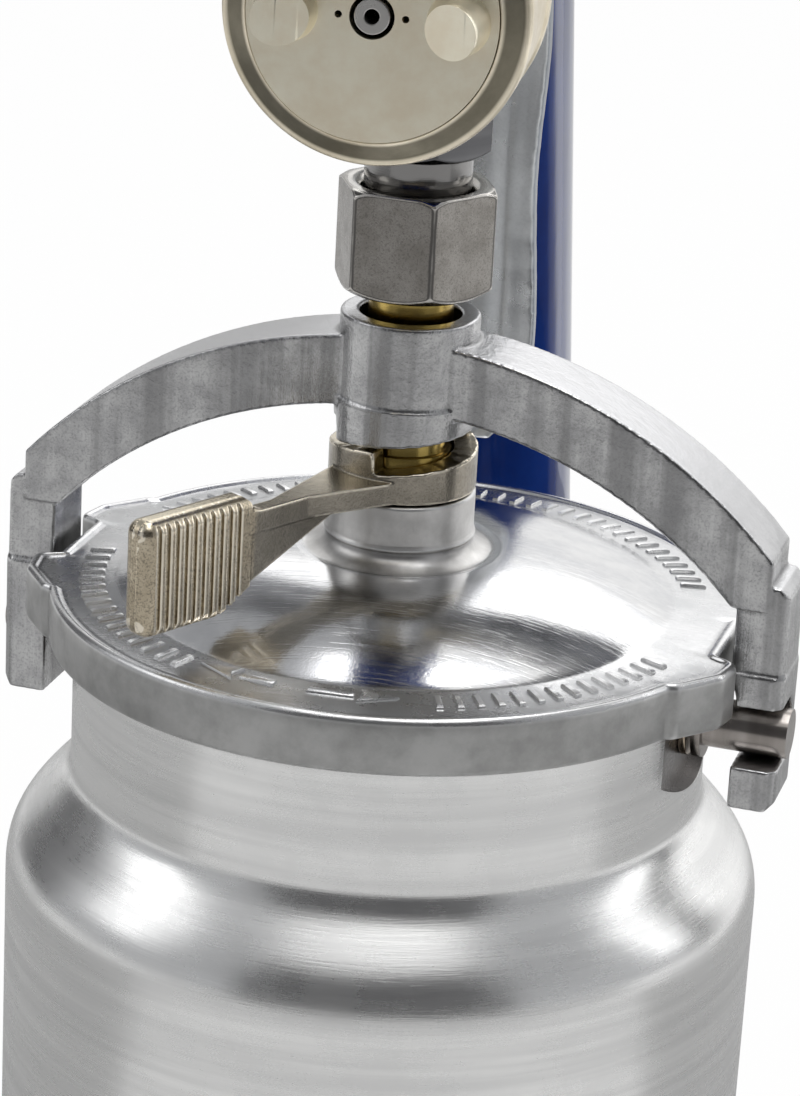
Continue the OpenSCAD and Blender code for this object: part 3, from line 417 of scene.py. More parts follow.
def connect(tree, shader, **values):
    for label, value in values.items():
        tree.links.new(value, shader.inputs[label.replace("_", " ")])


def repaint(material, mask, colour):
    """Lays a colour over a finish where the mask says."""
    tree = material.node_tree
    socket = tree.nodes["Principled BSDF"].inputs["Base Color"]
    tree.links.new(blend_colours(tree, mask, socket.links[0].from_socket, colour), socket)


def shade_of(colour, factor):
    return tuple(factor * c for c in colour)


SKIN_ENDS, SKIN_FADE = 0.0352, 0.0014


def cast_metal(name, dark, light, edge, rough, grain_depth, edge_band=(0.16, 0.5), patch=90.0, speckle=0.25,
               grain=1900.0, wave=0.0, hollow_darkness=0.6, brush=None, polished=None, skin=None):
    """Mottled metal with a fine grain, darker hollows and an edge colour: rubbed metal on most finishes, a
    painted dark line, a painted shade, on the dark nickel. Where asked for, it adds brush lines, tops that
    are painted lighter as a painted highlight and made smoother, or a dark skin near the axis, where no hand
    rubs it."""
    material, tree, shader = start_finish(name, 1.0)
    grainy = place_group(tree, mottle, Patch_Scale=patch, Grain_Scale=grain)
    colour = blend_colours(tree, grainy["Patches"], dark, light)
    roughness = blend_values(tree, grainy["Patches"], rough[1], rough[0])
    height = math_node(tree, "ADD", grainy["Grain"], math_node(tree, "MULTIPLY", grainy["Patches"], wave))
    specks = math_node(tree, "MULTIPLY", ramp_node(tree, grainy["Grain"], 0.52, 0.36), speckle)
    colour = blend_colours(tree, specks, colour, shade_of(dark, 0.5))
    if brush is not None:
        lines = place_group(tree, tool_lines, Fineness=0.4, Across=brush)
        streaks = math_node(tree, "MULTIPLY", ramp_node(tree, lines["Lines"], 0.48, 0.66), 0.35)
        streaks = math_node(tree, "MULTIPLY", streaks, grainy["Patches"])
        colour = blend_colours(tree, streaks, colour, edge)
        drawn = math_node(tree, "MULTIPLY", ramp_node(tree, lines["Bands"], 0.56, 0.40), 0.7)
        colour = blend_colours(tree, drawn, colour, shade_of(dark, 0.55))
        height = math_node(tree, "ADD", height, math_node(tree, "MULTIPLY", lines["Lines"], 1.2))
    if skin is not None:
        radius = place_group(tree, ring_distance)["Radius"]
        untouched = ramp_node(tree, radius, SKIN_ENDS, SKIN_ENDS - SKIN_FADE)
        colour = blend_colours(tree, untouched, colour, blend_colours(tree, grainy["Patches"], *skin))
        colour = blend_colours(tree, specks, colour, shade_of(skin[0], 0.4))
    # Faces that look up get a lighter colour, a painted highlight, and a lower roughness.
    if polished is not None:
        up = place_group(tree, tops, Start=0.5, Full=0.85)["Mask"]
        colour = blend_colours(tree, up, colour, polished)
        roughness = blend_values(tree, up, roughness, 0.24)
    # Hollows are made darker.
    hollow_dark = math_node(tree, "MULTIPLY", place_group(tree, hollow_darkening, Start=0.1, Full=0.5)["Mask"], hollow_darkness)
    colour = blend_colours(tree, hollow_dark, colour, shade_of(dark, 0.3))
    # The edge colour: rubbed metal on most finishes, a painted dark line, a painted shade, on the dark
    # nickel.
    wear_and_edge_line_mask = place_group(tree, edge_wear_and_lines, Start=edge_band[0], Full=edge_band[1], Patchiness=0.2)["Mask"]
    colour = blend_colours(tree, wear_and_edge_line_mask, colour, edge)
    rubbed = math_node(tree, "MULTIPLY", wear_and_edge_line_mask, rough[2])
    roughness = math_node(tree, "SUBTRACT", roughness, rubbed, clamp=True)
    connect(tree, shader, Base_Color=colour, Roughness=roughness,
            Normal=bump_node(tree, height, 0.3, grain_depth))
    return material


def turned_metal(name, dark, light, rough, across, fine=0.7, depth=0.00003):
    """Turned metal: fine lines round its axis and broad bands of shine."""
    material, tree, shader = start_finish(name, 1.0)
    lines = place_group(tree, tool_lines, Fineness=fine, Across=across)
    grainy = place_group(tree, mottle, Patch_Scale=70.0, Grain_Scale=900.0)
    colour = blend_colours(tree, ramp_node(tree, lines["Bands"], 0.3, 0.7), dark, light)
    smudge = math_node(tree, "MULTIPLY", grainy["Patches"], 0.35)
    colour = blend_colours(tree, smudge, colour, dark)
    share = math_node(tree, "ADD", math_node(tree, "MULTIPLY", lines["Lines"], 0.6),
                      math_node(tree, "MULTIPLY", grainy["Patches"], 0.4))
    connect(tree, shader, Base_Color=colour, Roughness=blend_values(tree, share, *rough),
            Normal=bump_node(tree, lines["Lines"], 0.4, depth))
    return material


# %% [markdown]
# The pot's cup is spun from aluminium sheet, so fine lines run round it. The lid and the yoke are cast
# and tumbled: mottled grey with bright edges. The lever, the front ring and the air cap carry a warm
# nickel plate, and the coupling nut a darker, grainy one. The gun's body is cast too, under gloss enamel.

# %% Finishes
ROUND_Z, ROUND_X, ROUND_Y = (0.03, 0.03, 1.0), (1.0, 0.04, 0.04), (0.04, 1.0, 0.04)
spun_aluminium = turned_metal(
    "spun_aluminium", (0.78, 0.78, 0.775), (0.93, 0.93, 0.92), (0.18, 0.36),
    ROUND_Z, fine=1.0, depth=0.00004)
# The yoke's upward faces are painted lighter, a painted highlight.
yoke_aluminium = cast_metal(
    "yoke_aluminium", (0.44, 0.44, 0.445), (0.58, 0.58, 0.58), (0.70, 0.70, 0.70),
    (0.17, 0.27, 0.04), 0.00010, edge_band=(0.6, 1.0), patch=190.0, speckle=0.4,
    grain=2600.0, wave=1.5, brush=(1.0, 1.0, 0.03), polished=(0.62, 0.62, 0.63))
# The lever's upward faces are painted lighter, a painted highlight.
warm_nickel = cast_metal(
    "warm_nickel", (0.47, 0.405, 0.30), (0.60, 0.525, 0.40), (0.86, 0.79, 0.66),
    (0.16, 0.28, 0.06), 0.00010, edge_band=(0.30, 0.75), patch=150.0, speckle=0.4,
    grain=3000.0, wave=0.8, hollow_darkness=0.2, polished=(0.64, 0.575, 0.45),
    skin=((0.28, 0.255, 0.212), (0.37, 0.338, 0.285)))
# Its edge colour is darker than its face: a painted dark line along each edge, a painted shade.
dark_nickel = cast_metal(
    "dark_nickel", (0.25, 0.235, 0.215), (0.32, 0.305, 0.285), (0.11, 0.105, 0.10),
    (0.24, 0.32, 0.10), 0.00004, edge_band=(0.08, 0.22), patch=200.0, speckle=0.5, grain=3400.0)
polished_aluminium = cast_metal(
    "polished_aluminium", (0.78, 0.80, 0.81), (0.90, 0.92, 0.93), (0.92, 0.93, 0.94),
    (0.26, 0.36, 0.03), 0.00003, edge_band=(0.3, 0.8), speckle=0.1)
pin_steel = turned_metal("pin_steel", (0.28, 0.255, 0.235), (0.44, 0.41, 0.385), (0.18, 0.30), ROUND_X)
washer_bronze = turned_metal("washer_bronze", (0.40, 0.33, 0.25), (0.56, 0.47, 0.37), (0.20, 0.30), ROUND_X)
gun_steel = turned_metal("gun_steel", (0.44, 0.43, 0.42), (0.58, 0.57, 0.55), (0.20, 0.34), ROUND_Y)
# Steel painted nearly black, a painted shade.
inlet_steel = turned_metal("inlet_steel", (0.09, 0.09, 0.095), (0.18, 0.18, 0.185), (0.10, 0.20), ROUND_Z)
brass = turned_metal("brass", (0.50, 0.36, 0.10), (0.72, 0.54, 0.18), (0.14, 0.28), ROUND_Z)
print("made", len(bpy.data.materials), "materials, the stage's among them")

# %% [markdown]
# The enamel is stoved onto the casting, and is deep blue all over. Its clear gloss mirrors more the further
# the surface turns away, so the white table shows as a pale strip along the handle's side. The seal under
# the lid is plain black rubber.

# %% Enamel and rubber
GLOSS_FROM, GLOSS_FULL = 0.46, 0.62
blue_enamel, tree, shader = start_finish("blue_enamel", 0.0)
grainy = place_group(tree, mottle, Patch_Scale=40.0, Grain_Scale=600.0)
deep = blend_colours(tree, grainy["Patches"], (0.0004, 0.015, 0.12), (0.0008, 0.024, 0.17))
slant = tree.nodes.new("ShaderNodeLayerWeight")
slant.inputs["Blend"].default_value = 0.5
gloss = ramp_node(tree, slant.outputs["Facing"], GLOSS_FROM, GLOSS_FULL)
connect(tree, shader, Base_Color=deep, Roughness=blend_values(tree, grainy["Grain"], 0.10, 0.18),
        Coat_Weight=blend_values(tree, gloss, 0.03, 1.0),
        Normal=bump_node(tree, grainy["Patches"], 0.06, 0.0001))
for label, value in (("Specular IOR Level", 0.04), ("Coat Roughness", 0.05), ("Coat IOR", 2.2)):
    shader.inputs[label].default_value = value

black_seal, tree, shader = start_finish("black_seal", 0.0)
grainy = place_group(tree, mottle, Patch_Scale=120.0, Grain_Scale=900.0)
connect(tree, shader, Roughness=blend_values(tree, grainy["Grain"], 0.55, 0.75),
        Base_Color=blend_colours(tree, grainy["Patches"], (0.012, 0.012, 0.012), (0.03, 0.03, 0.03)))
print("made", blue_enamel.name, "and", black_seal.name)

# %% [markdown]
# Three ways of making a mesh cover the whole gun. Turned pieces are lofts: rows of points, each with its
# own radius and height all round, joined by quads, which also gives hexagons and lugs. Cast pieces start
# from the CAD solid, are wrapped in an even skin of small quads and eased, which rounds every edge as a
# casting's are. Small fittings keep the CAD mesh and get a bevel. The first two also store on each point
# how convex or hollow the surface is there, which the worn edges and the dirt read.

# %% Mesh helpers
def apply_modifiers(obj):
    mesh = bpy.data.meshes.new_from_object(obj.evaluated_get(bpy.context.evaluated_depsgraph_get()))
    old = obj.data
    obj.modifiers.clear()
    obj.data = mesh
    bpy.data.meshes.remove(old)


def weld(mesh, distance=1e-6):
    work = bmesh.new()
    work.from_mesh(mesh)
    bmesh.ops.remove_doubles(work, verts=work.verts, dist=distance)
    bmesh.ops.dissolve_degenerate(work, edges=work.edges, dist=distance)
    bmesh.ops.recalc_face_normals(work, faces=work.faces)
    work.to_mesh(mesh)
    work.free()


def read_points(mesh, what):
    values = np.zeros(len(mesh.vertices) * 3)
    mesh.vertices.foreach_get(what, values)
    return values.reshape(-1, 3)


def mark_edges(mesh, reach, rounds):
    """Stores how convex and how hollow the surface is at each point, for a corner of about that reach."""
    place, normal = read_points(mesh, "co"), read_points(mesh, "normal")
    count = len(place)
    pairs = np.zeros(len(mesh.edges) * 2, np.int32)
    mesh.edges.foreach_get("vertices", pairs)
    a, b = pairs.reshape(-1, 2).T
    step = place[b] - place[a]
    length = np.maximum(np.linalg.norm(step, axis=1), 1e-9)
    bend = np.einsum("ij,ij->i", normal[b] - normal[a], step) / length ** 2
    near = np.maximum(np.bincount(a, minlength=count) + np.bincount(b, minlength=count), 1)
    curve = (np.bincount(a, bend, count) + np.bincount(b, bend, count)) / near * reach
    for _ in range(rounds):
        around = np.bincount(a, curve[b], count) + np.bincount(b, curve[a], count)
        curve = 0.5 * curve + 0.5 * around / near
    for name, values in (("convex", np.clip(curve, 0, 1)), ("hollow", np.clip(-curve, 0, 1))):
        layer = mesh.attributes.new(name, "FLOAT", "POINT")
        layer.data.foreach_set("value", values.astype(np.float32))


def finish_piece(obj, material, body, slot, *replaced, reach=0.0008, rounds=3):
    mesh = obj.data
    mesh.materials.clear()
    mesh.materials.append(material)
    mesh.shade_smooth()
    mark_edges(mesh, reach, rounds)
    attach(obj, body)
    if replaced:
        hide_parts(*replaced)
    print(obj.name, len(mesh.polygons), "faces")
    return obj


PLAIN_STEPS = 192


def loft(name, rows, place=None, closed=True):
    """A skin through rows of (radius, height), each a number or one value per step round the axis."""
    steps = max(len(np.atleast_1d(part)) for row in rows for part in row)
    steps = steps if steps > 1 else PLAIN_STEPS
    angle = np.arange(steps) * 2 * math.pi / steps
    points = []
    for radius, height in rows:
        radius, height = np.broadcast_to(radius, steps), np.broadcast_to(height, steps)
        points.append(np.stack([radius * np.cos(angle), radius * np.sin(angle), height], 1))
    points = np.concatenate(points) * MM
    faces = []
    for i in range(len(rows) if closed else len(rows) - 1):
        j = (i + 1) % len(rows)
        for k in range(steps):
            m = (k + 1) % steps
            faces.append((i * steps + k, i * steps + m, j * steps + m, j * steps + k))
    mesh = bpy.data.meshes.new(name)
    mesh.from_pydata([tuple(p) for p in points], [], faces)
    if place is not None:
        mesh.transform(place)
    weld(mesh, 1e-7)
    return link(bpy.data.objects.new(name, mesh))


def rounded_profile(points, size, steps=4):
    """A closed profile with every corner rounded; a point's third number is its own size."""
    out = []
    for i, point in enumerate(points):
        three = (points[i - 1], point, points[(i + 1) % len(points)])
        before, middle, after = (np.array(q[:2], float) for q in three)
        own = point[2] if len(point) > 2 else size
        into, onward = before - middle, after - middle
        start = middle + into * min(own / np.linalg.norm(into), 0.49)
        stop = middle + onward * min(own / np.linalg.norm(onward), 0.49)
        share = np.linspace(0, 1, steps + 1)[:, None]
        bend = (1 - share) ** 2 * start + 2 * share * (1 - share) * middle + share ** 2 * stop
        out += [tuple(q) for q in bend]
    return out


def cast_copy(name, node, voxel, rounds):
    """A skin of even quads round a CAD solid, eased so that its edges are rounded like a casting's."""
    mesh = nodes[node].data.copy()
    mesh.name = name
    weld(mesh)
    obj = link(bpy.data.objects.new(name, mesh))
    skin = obj.modifiers.new("skin", "REMESH")
    skin.mode = "VOXEL"
    skin.voxel_size = voxel * MM
    ease = obj.modifiers.new("ease", "SMOOTH")
    ease.factor = 0.5
    ease.iterations = rounds
    apply_modifiers(obj)
    return obj


POT_TURN = Matrix.Rotation(math.radians(-7.5), 4, "Z")
LID_Z = 118.85
GUN_Z = 218.85
ON_POT = Matrix.Translation((0, 0, LID_Z * MM)) @ POT_TURN
ALONG_GUN = Matrix.Translation((0, 0, GUN_Z * MM)) @ Matrix.Rotation(math.radians(-90), 4, "X")

# %% [markdown]
# The cup is one spun shell. Its profile runs from the flat base round a soft foot, up the straight wall,
# in over the shoulder and up the neck. Two flats are milled into the neck where the pins sit, and a
# boolean cut makes those, as the cutter does on the real one. The milled faces are painted dark, a painted
# reflection, so the cup's finish gets a second colour for points of the neck that lie nearer to the axis.

# %% Cup
CUP_R, NECK_R, BODY_H, SHOULDER_H = 60.0, 50.0, 70.0, 20.0
FOOT_R, SKIN, NECK_SKIN = 7.0, 1.6, 4.5
PIN_DROP, FLAT_BELOW, FLAT_R, FLAT_OUT, CUTTER_DEPTH = 14.0, 10.0, 31.0, 47.6, 20.0
CUP_STEPS = 256


def shoulder(share):
    return NECK_R + (CUP_R - NECK_R) * (1 + math.cos(math.pi * share ** 1.4)) / 2


profile = [(0.0, 0.0)]
foot_x = CUP_R - FOOT_R
profile += [(foot_x + FOOT_R * math.sin(a), FOOT_R - FOOT_R * math.cos(a))
            for a in np.linspace(0, math.pi / 2, 13)]
profile += [(shoulder(t), BODY_H + SHOULDER_H * t) for t in np.linspace(0, 1, 41)]
profile += [(NECK_R, z) for z in np.linspace(93, 112, 12)]
profile += [(49.9, 112.6), (49.5, 113.0), (46.0, 113.0), (45.6, 112.6), (45.5, 112.0)]
profile += [(shoulder(t) - SKIN - (NECK_SKIN - SKIN) * t, BODY_H + SHOULDER_H * t)
            for t in np.linspace(1, 0, 21)]
inner_r = FOOT_R - SKIN
profile += [(foot_x + inner_r * math.sin(a), FOOT_R - inner_r * math.cos(a))
            for a in np.linspace(math.pi / 2, 0, 9)]
profile += [(0.0, SKIN)]
cup = loft("cup_shell", [(np.full(CUP_STEPS, r), z) for r, z in profile], closed=False)
cutter_mesh = bpy.data.meshes.new("flat_cutter")
work = bmesh.new()
above_pin = Matrix.Translation((0, 0, (LID_Z - PIN_DROP - FLAT_BELOW + FLAT_R) * MM)) @ POT_TURN
beside = Matrix.Translation(((FLAT_OUT + CUTTER_DEPTH / 2) * MM, 0, 0)) @ Matrix.Rotation(math.pi / 2, 4, "Y")
for side in (0, math.pi):
    bmesh.ops.create_cone(work, cap_ends=True, segments=192, radius1=FLAT_R * MM, radius2=FLAT_R * MM,
                          depth=CUTTER_DEPTH * MM, matrix=above_pin @ Matrix.Rotation(side, 4, "Z") @ beside)
work.to_mesh(cutter_mesh)
work.free()
cutter = link(bpy.data.objects.new("flat_cutter", cutter_mesh))
cut = cup.modifiers.new("milled_flats", "BOOLEAN")
cut.object = cutter
cut.operation = "DIFFERENCE"
cut.solver = "EXACT"
apply_modifiers(cup)
bpy.data.objects.remove(cutter)
cup_aluminium = spun_aluminium.copy()
cup_aluminium.name = "cup_aluminium"
tree = cup_aluminium.node_tree
radius = place_group(tree, ring_distance)["Radius"]
height = axis_value(tree, object_place(tree), "Z")
# Points on the milled flats are painted dark, a painted reflection.
milled = math_node(tree, "MULTIPLY", ramp_node(tree, radius, 0.04992, 0.04985),
                   ramp_node(tree, radius, 0.0466, 0.0470))
milled = math_node(tree, "MULTIPLY", milled, ramp_node(tree, height, 0.0930, 0.0935))
repaint(cup_aluminium, milled, (0.17, 0.16, 0.155))
finish_piece(cup, cup_aluminium, "cup", "spun_aluminium", "cup")
cup.data.set_sharp_from_angle(angle=math.radians(32))

# %% [markdown]
# The lid is cast: a boss for the lever to turn on, with a bead and a fillet at its foot, a dome, a flat
# margin and a rim with a rounded bead along its top. Its outline swells into two pairs of lugs that guide
# the yoke's legs. A loft whose outer rows follow that outline makes the rim, the bead and the lugs in one
# skin. The dome is polished, the margin is satin and the rim's side is left as tumbled, so the finish
# changes with the radius.

# %% Lid
STEPS = 1080
angle = np.arange(STEPS) * 2 * math.pi / STEPS
LID_R, BOSS_R, DOME_R, DOME_TOP, DOME_FALL, DOME_CURVE, LID_SKIN = 54.0, 11.5, 43.2, 7.6, 7.3, 2.15, 2.7
lug = [(50.2, -22.4), (55.8, -15.4), (56.8, -10.4), (55.5, -8.9), (53.35, -8.7),
       (53.35, 8.7), (55.5, 8.9), (56.8, 10.4), (55.8, 15.4), (50.2, 22.4)]
outline = np.full(STEPS, LID_R)
for end_turn in (0, math.pi):
    swing = (angle - end_turn + math.pi) % (2 * math.pi) - math.pi
    for (x0, y0), (x1, y1) in zip(lug, lug[1:]):
        a0, a1 = math.atan2(y0, x0), math.atan2(y1, x1)
        inside = (swing >= min(a0, a1)) & (swing <= max(a0, a1))
        nx, ny = y1 - y0, x0 - x1
        reach = (x0 * nx + y0 * ny) / (np.cos(swing) * nx + np.sin(swing) * ny)
        outline = np.where(inside, reach, outline)
kernel = np.ones(3) / 3
for _ in range(2):
    outline = np.convolve(np.concatenate([outline[-1:], outline, outline[:1]]), kernel, "valid")


def dome_height(r):
    return DOME_TOP - DOME_FALL * ((r - BOSS_R) / (DOME_R - BOSS_R)) ** DOME_CURVE


def margin_height(r):
    return 0.28 - 0.0733 * (r - 44.0)


rows = [(6.55, 17.0), (10.9, 17.0), (11.3, 16.9), (11.5, 16.65), (11.52, 16.3), (11.52, 14.0), (11.52, 10.8),
        (11.58, 10.5), (11.75, 10.3), (11.8, 10.05), (11.72, 9.8), (11.5, 9.6)]
rows += [(11.45 + 3.6 * (1 - math.cos(a)), 9.5 - 2.37 * math.sin(a)) for a in np.linspace(0.05, 1.5, 12)]
rows += [(r, dome_height(r)) for r in np.linspace(15.6, 42.4, 34)]
rows += [(43.0, 0.48), (43.4, 0.34), (44.0, 0.28), (47.0, 0.06), (50.0, -0.16)]
rim = [(2.6, -0.34), (2.0, -0.42), (1.75, -0.36), (1.5, -0.14), (1.2, 0.02), (0.9, 0.08), (0.6, 0.02),
       (0.3, -0.18), (0.1, -0.5), (0.0, -0.9), (0.0, -3.0), (0.0, -5.5), (0.0, -7.9), (0.15, -8.5),
       (0.5, -8.8)]
rows += [(outline - inward, z) for inward, z in rim]
rows += [(51.9, -8.8), (51.4, -8.4), (51.4, -3.5), (43.0, -2.6)]
rows += [(r, dome_height(r) - LID_SKIN) for r in np.linspace(40, 12, 10)]
rows += [(6.55, 5.0)]
lid = loft("lid_casting", rows, ON_POT)

lid_aluminium, tree, shader = start_finish("lid_aluminium", 1.0)
grainy = place_group(tree, mottle, Patch_Scale=110.0, Grain_Scale=1700.0)
radius = place_group(tree, ring_distance)["Radius"]
on_dome = ramp_node(tree, radius, 0.0439, 0.0428)
on_boss = ramp_node(tree, radius, 0.0158, 0.0140)
height = axis_value(tree, object_place(tree), "Z")
on_side = math_node(tree, "MULTIPLY", ramp_node(tree, height, (LID_Z - 0.4) * MM, (LID_Z - 1.3) * MM),
                    ramp_node(tree, radius, 0.0490, 0.0500))
colour = blend_colours(tree, grainy["Patches"], (0.58, 0.585, 0.59), (0.72, 0.72, 0.725))
for mask, dark, light in ((on_dome, (0.64, 0.645, 0.66), (0.79, 0.79, 0.79)),
                          (on_boss, (0.60, 0.59, 0.575), (0.78, 0.77, 0.755)),
                          (on_side, (0.34, 0.34, 0.335), (0.46, 0.46, 0.455))):
    colour = blend_colours(tree, mask, colour, blend_colours(tree, grainy["Patches"], dark, light))
# The lid is made darker in its hollows.
hollow_dark = math_node(tree, "MULTIPLY", place_group(tree, hollow_darkening, Start=0.06, Full=0.4)["Mask"], 0.5)
colour = blend_colours(tree, hollow_dark, colour, (0.14, 0.14, 0.15))
wear_and_edge_line_mask = place_group(tree, edge_wear_and_lines, Start=0.2, Full=0.6, Patchiness=0.2)["Mask"]
colour = blend_colours(tree, wear_and_edge_line_mask, colour, (0.80, 0.80, 0.80))
marks = place_group(tree, scratches, Fineness=1.0, Amount=0.6)["Mask"]
roughness = blend_values(tree, grainy["Patches"], 0.32, 0.22)
roughness = blend_values(tree, on_dome, roughness, blend_values(tree, grainy["Patches"], 0.18, 0.11))
roughness = blend_values(tree, math_node(tree, "MAXIMUM", on_side, on_boss), roughness,
                         blend_values(tree, grainy["Patches"], 0.42, 0.32))
relief = math_node(tree, "SUBTRACT", grainy["Grain"], math_node(tree, "MULTIPLY", marks, 0.8))
connect(tree, shader, Base_Color=colour, Roughness=roughness, Normal=bump_node(tree, relief, 0.3, 0.00004))
finish_piece(lid, lid_aluminium, "gun", "cast_aluminium", "lid")

# %% [markdown]
# Low marks are cast into the margin: two arrows at the front that show which way the pot locks and opens,
# and rows of plain ticks. Each mark is a small raised shape with sloped sides, as a casting needs to leave
# its mould. They are laid out along the circle, so a mark's corners are given along and across its band.

# %% Marks on the lid
marks_mesh = bpy.data.meshes.new("lid_marks")
work = bmesh.new()


def raised_mark(corners, middle, turn, rise):
    """A low shape with sloped sides; corners are (along, across) in millimetres."""
    centre = np.mean(np.array(corners, float), axis=0)
    rings = []
    for keep, lift in ((1.0, -0.15), (0.94, 0.7 * rise), (0.72, rise)):
        ring = []
        for corner in corners:
            along, across = centre + (np.array(corner) - centre) * keep
            r = middle + across
            a = math.radians(turn) + along / middle
            z = LID_Z + margin_height(r) + lift
            ring.append(work.verts.new((r * math.cos(a) * MM, r * math.sin(a) * MM, z * MM)))
        rings.append(ring)
    count = len(corners)
    for low, high in zip(rings, rings[1:]):
        for k in range(count):
            work.faces.new((low[k], low[(k + 1) % count], high[(k + 1) % count], high[k]))
    work.faces.new(rings[-1])


RISE, ARROW_R, TICK_R, CLOSE_TURN, OPEN_TURN = 0.45, 46.3, 47.4, -110.7, -88.1
TICK = [(-0.5, -2.1), (0.5, -2.1), (0.5, 2.1), (-0.5, 2.1)]
raised_mark([(-6.6, 0.0), (0.4, 2.0), (-0.6, 0.0), (0.4, -2.0)], ARROW_R, CLOSE_TURN, RISE)
raised_mark([(0.9, 0.8), (0.9, -0.8), (6.5, -0.8), (6.5, 0.8)], ARROW_R, CLOSE_TURN, RISE)
raised_mark([(6.9, 0.0), (0.6, 2.0), (1.4, 0.0), (0.6, -2.0)], ARROW_R, OPEN_TURN, RISE)
raised_mark([(0.3, 0.8), (0.3, -0.8), (-6.9, -0.8), (-6.9, 0.8)], ARROW_R, OPEN_TURN, RISE)
for start, stop, count in ((178, 238, 16), (-73, -26, 14), (17, 82, 18), (100, 150, 14)):
    for turn in np.linspace(start, stop, count):
        raised_mark(TICK, TICK_R, turn, RISE)
work.to_mesh(marks_mesh)
work.free()
weld(marks_mesh)
lid_marks = link(bpy.data.objects.new("lid_marks", marks_mesh))
finish_piece(lid_marks, lid_aluminium, "gun", "cast_aluminium")
lid_marks.data.set_sharp_from_angle(angle=math.radians(50))

# %% [markdown]
# The yoke, the lever, the gun's body and the trigger are castings with bosses, webs and arms that run into
# each other, so each is an eased skin round its CAD solid. The size of the small quads sets how much detail
# stays. The yoke comes first. Its boss gets the faint step where the two halves of its mould met.

# %% Yoke
def write_points(mesh, place):
    mesh.vertices.foreach_set("co", place.ravel())


SEAM_Z, SEAM_DEPTH = 0.1505, 0.0003
yoke = cast_copy("yoke_casting", "yoke", 0.22, 18)
place = read_points(yoke.data, "co")
out = np.hypot(place[:, 0], place[:, 1])
below = np.clip((SEAM_Z - place[:, 2]) / 0.0004, 0, 1) * np.clip((0.0116 - out) / 0.0006, 0, 1)
below = below * (out > 0.0098)
shrink = 1 - SEAM_DEPTH * below / np.maximum(out, 1e-6)
place[:, 0] *= shrink
place[:, 1] *= shrink
write_points(yoke.data, place)
finish_piece(yoke, yoke_aluminium, "yoke", "cast_aluminium", "yoke", reach=0.0009, rounds=26)

# %% [markdown]
# The lever needs the finest skin, because of the ribs on its thumb pad. Thumbs have worn the pad's rim
# round: in the lever's own frame, each point of the pad that lies outside a rounded block is pulled back
# onto it.

# %% Lever
LEVER_TURN = math.radians(-117)
PAD_FROM, PAD_TO, PAD_ROUND = (35.0, -2.3, 5.2), (56.0, 3.2, 23.2), 2.2
on_lever = ON_POT @ Matrix.Rotation(LEVER_TURN, 4, "Z")
lever = cast_copy("lever_casting", "cam_lever", 0.18, 7)
lever.data.transform(on_lever.inverted())
place = read_points(lever.data, "co") / MM
on_pad = place[:, 0] > PAD_FROM[0]
kept_x = np.minimum(place[:, 0], PAD_TO[0] - PAD_ROUND)
kept_z = np.clip(place[:, 2], PAD_FROM[2] + PAD_ROUND, PAD_TO[2] - PAD_ROUND)
past = np.hypot(place[:, 0] - kept_x, place[:, 2] - kept_z)
pull = np.where(on_pad, PAD_ROUND / np.maximum(past, PAD_ROUND), 1.0)
place[:, 0] = kept_x + (place[:, 0] - kept_x) * pull
place[:, 2] = kept_z + (place[:, 2] - kept_z) * pull
drop = (PAD_ROUND - np.sqrt(PAD_ROUND ** 2 - np.minimum(past, PAD_ROUND) ** 2)) * on_pad
rounded = np.clip(place[:, 1], PAD_FROM[1] + drop, PAD_TO[1] - drop)
place[:, 1] = np.where(on_pad, rounded, place[:, 1])
write_points(lever.data, place * MM)
lever.data.transform(on_lever)
finish_piece(lever, warm_nickel, "lever", "nickel", "cam_lever", reach=0.0007, rounds=10)

# %% [markdown]
# The gun's body is the big smooth casting under the blue enamel, so a coarser skin does.

# %% Gun body
body = cast_copy("gun_casting", "gun_body", 0.7, 8)
finish_piece(body, blue_enamel, "gun", "blue_enamel", "gun_body")

# %% [markdown]
# The trigger is bent from a thick blade with a raised edge on each side of a shallow hollow. Its width
# changes along its length, so the half width is measured level by level and smoothed, and the edge and the
# hollow follow a share of it. Its cut sides are duller and darker than its polished front.

# %% Trigger
LEVEL, EDGE_RISE, HOLLOW_DEPTH = 0.002, 0.7, 0.35
trigger = cast_copy("trigger_casting", "trigger", 0.4, 18)
place, normal = read_points(trigger.data, "co"), read_points(trigger.data, "normal")
foot = place[:, 2].min()
level = np.round(place[:, 2] / LEVEL).astype(int) - int(foot / LEVEL)
half = np.zeros(level.max() + 1)
np.maximum.at(half, level, np.abs(place[:, 0]))
half = np.convolve(np.pad(half, 4, "edge"), np.ones(9) / 9, "valid")
side = np.abs(place[:, 0]) / np.interp((place[:, 2] - foot) / LEVEL, np.arange(len(half)), half)
front = np.clip((-normal[:, 1] - 0.35) / 0.4, 0, 1)
ridge = HOLLOW_DEPTH * np.exp(-(side / 0.35) ** 2) - EDGE_RISE * np.exp(-((side - 0.62) / 0.17) ** 2)
place[:, 1] += MM * ridge * front
write_points(trigger.data, place)
tree = polished_aluminium.node_tree
across = math_node(tree, "ABSOLUTE", axis_value(tree, facing_way(tree), "X"), 0.0)
repaint(polished_aluminium, ramp_node(tree, across, 0.45, 0.85), (0.30, 0.32, 0.35))
finish_piece(trigger, polished_aluminium, "trigger", "polished_aluminium", "trigger", rounds=8)

# %% [markdown]
# The coupling nut is the dark hexagon in the middle of the picture. A loft gives it: its radius is the
# hexagon's at that angle, cut off by a cone near each end, and the smaller of the two, blended softly, rounds
# the corners. The plating is dark. Its top, its mouth and a narrow band along each corner are painted light,
# a painted highlight, and a band beside each edge is painted darker, a painted shade.

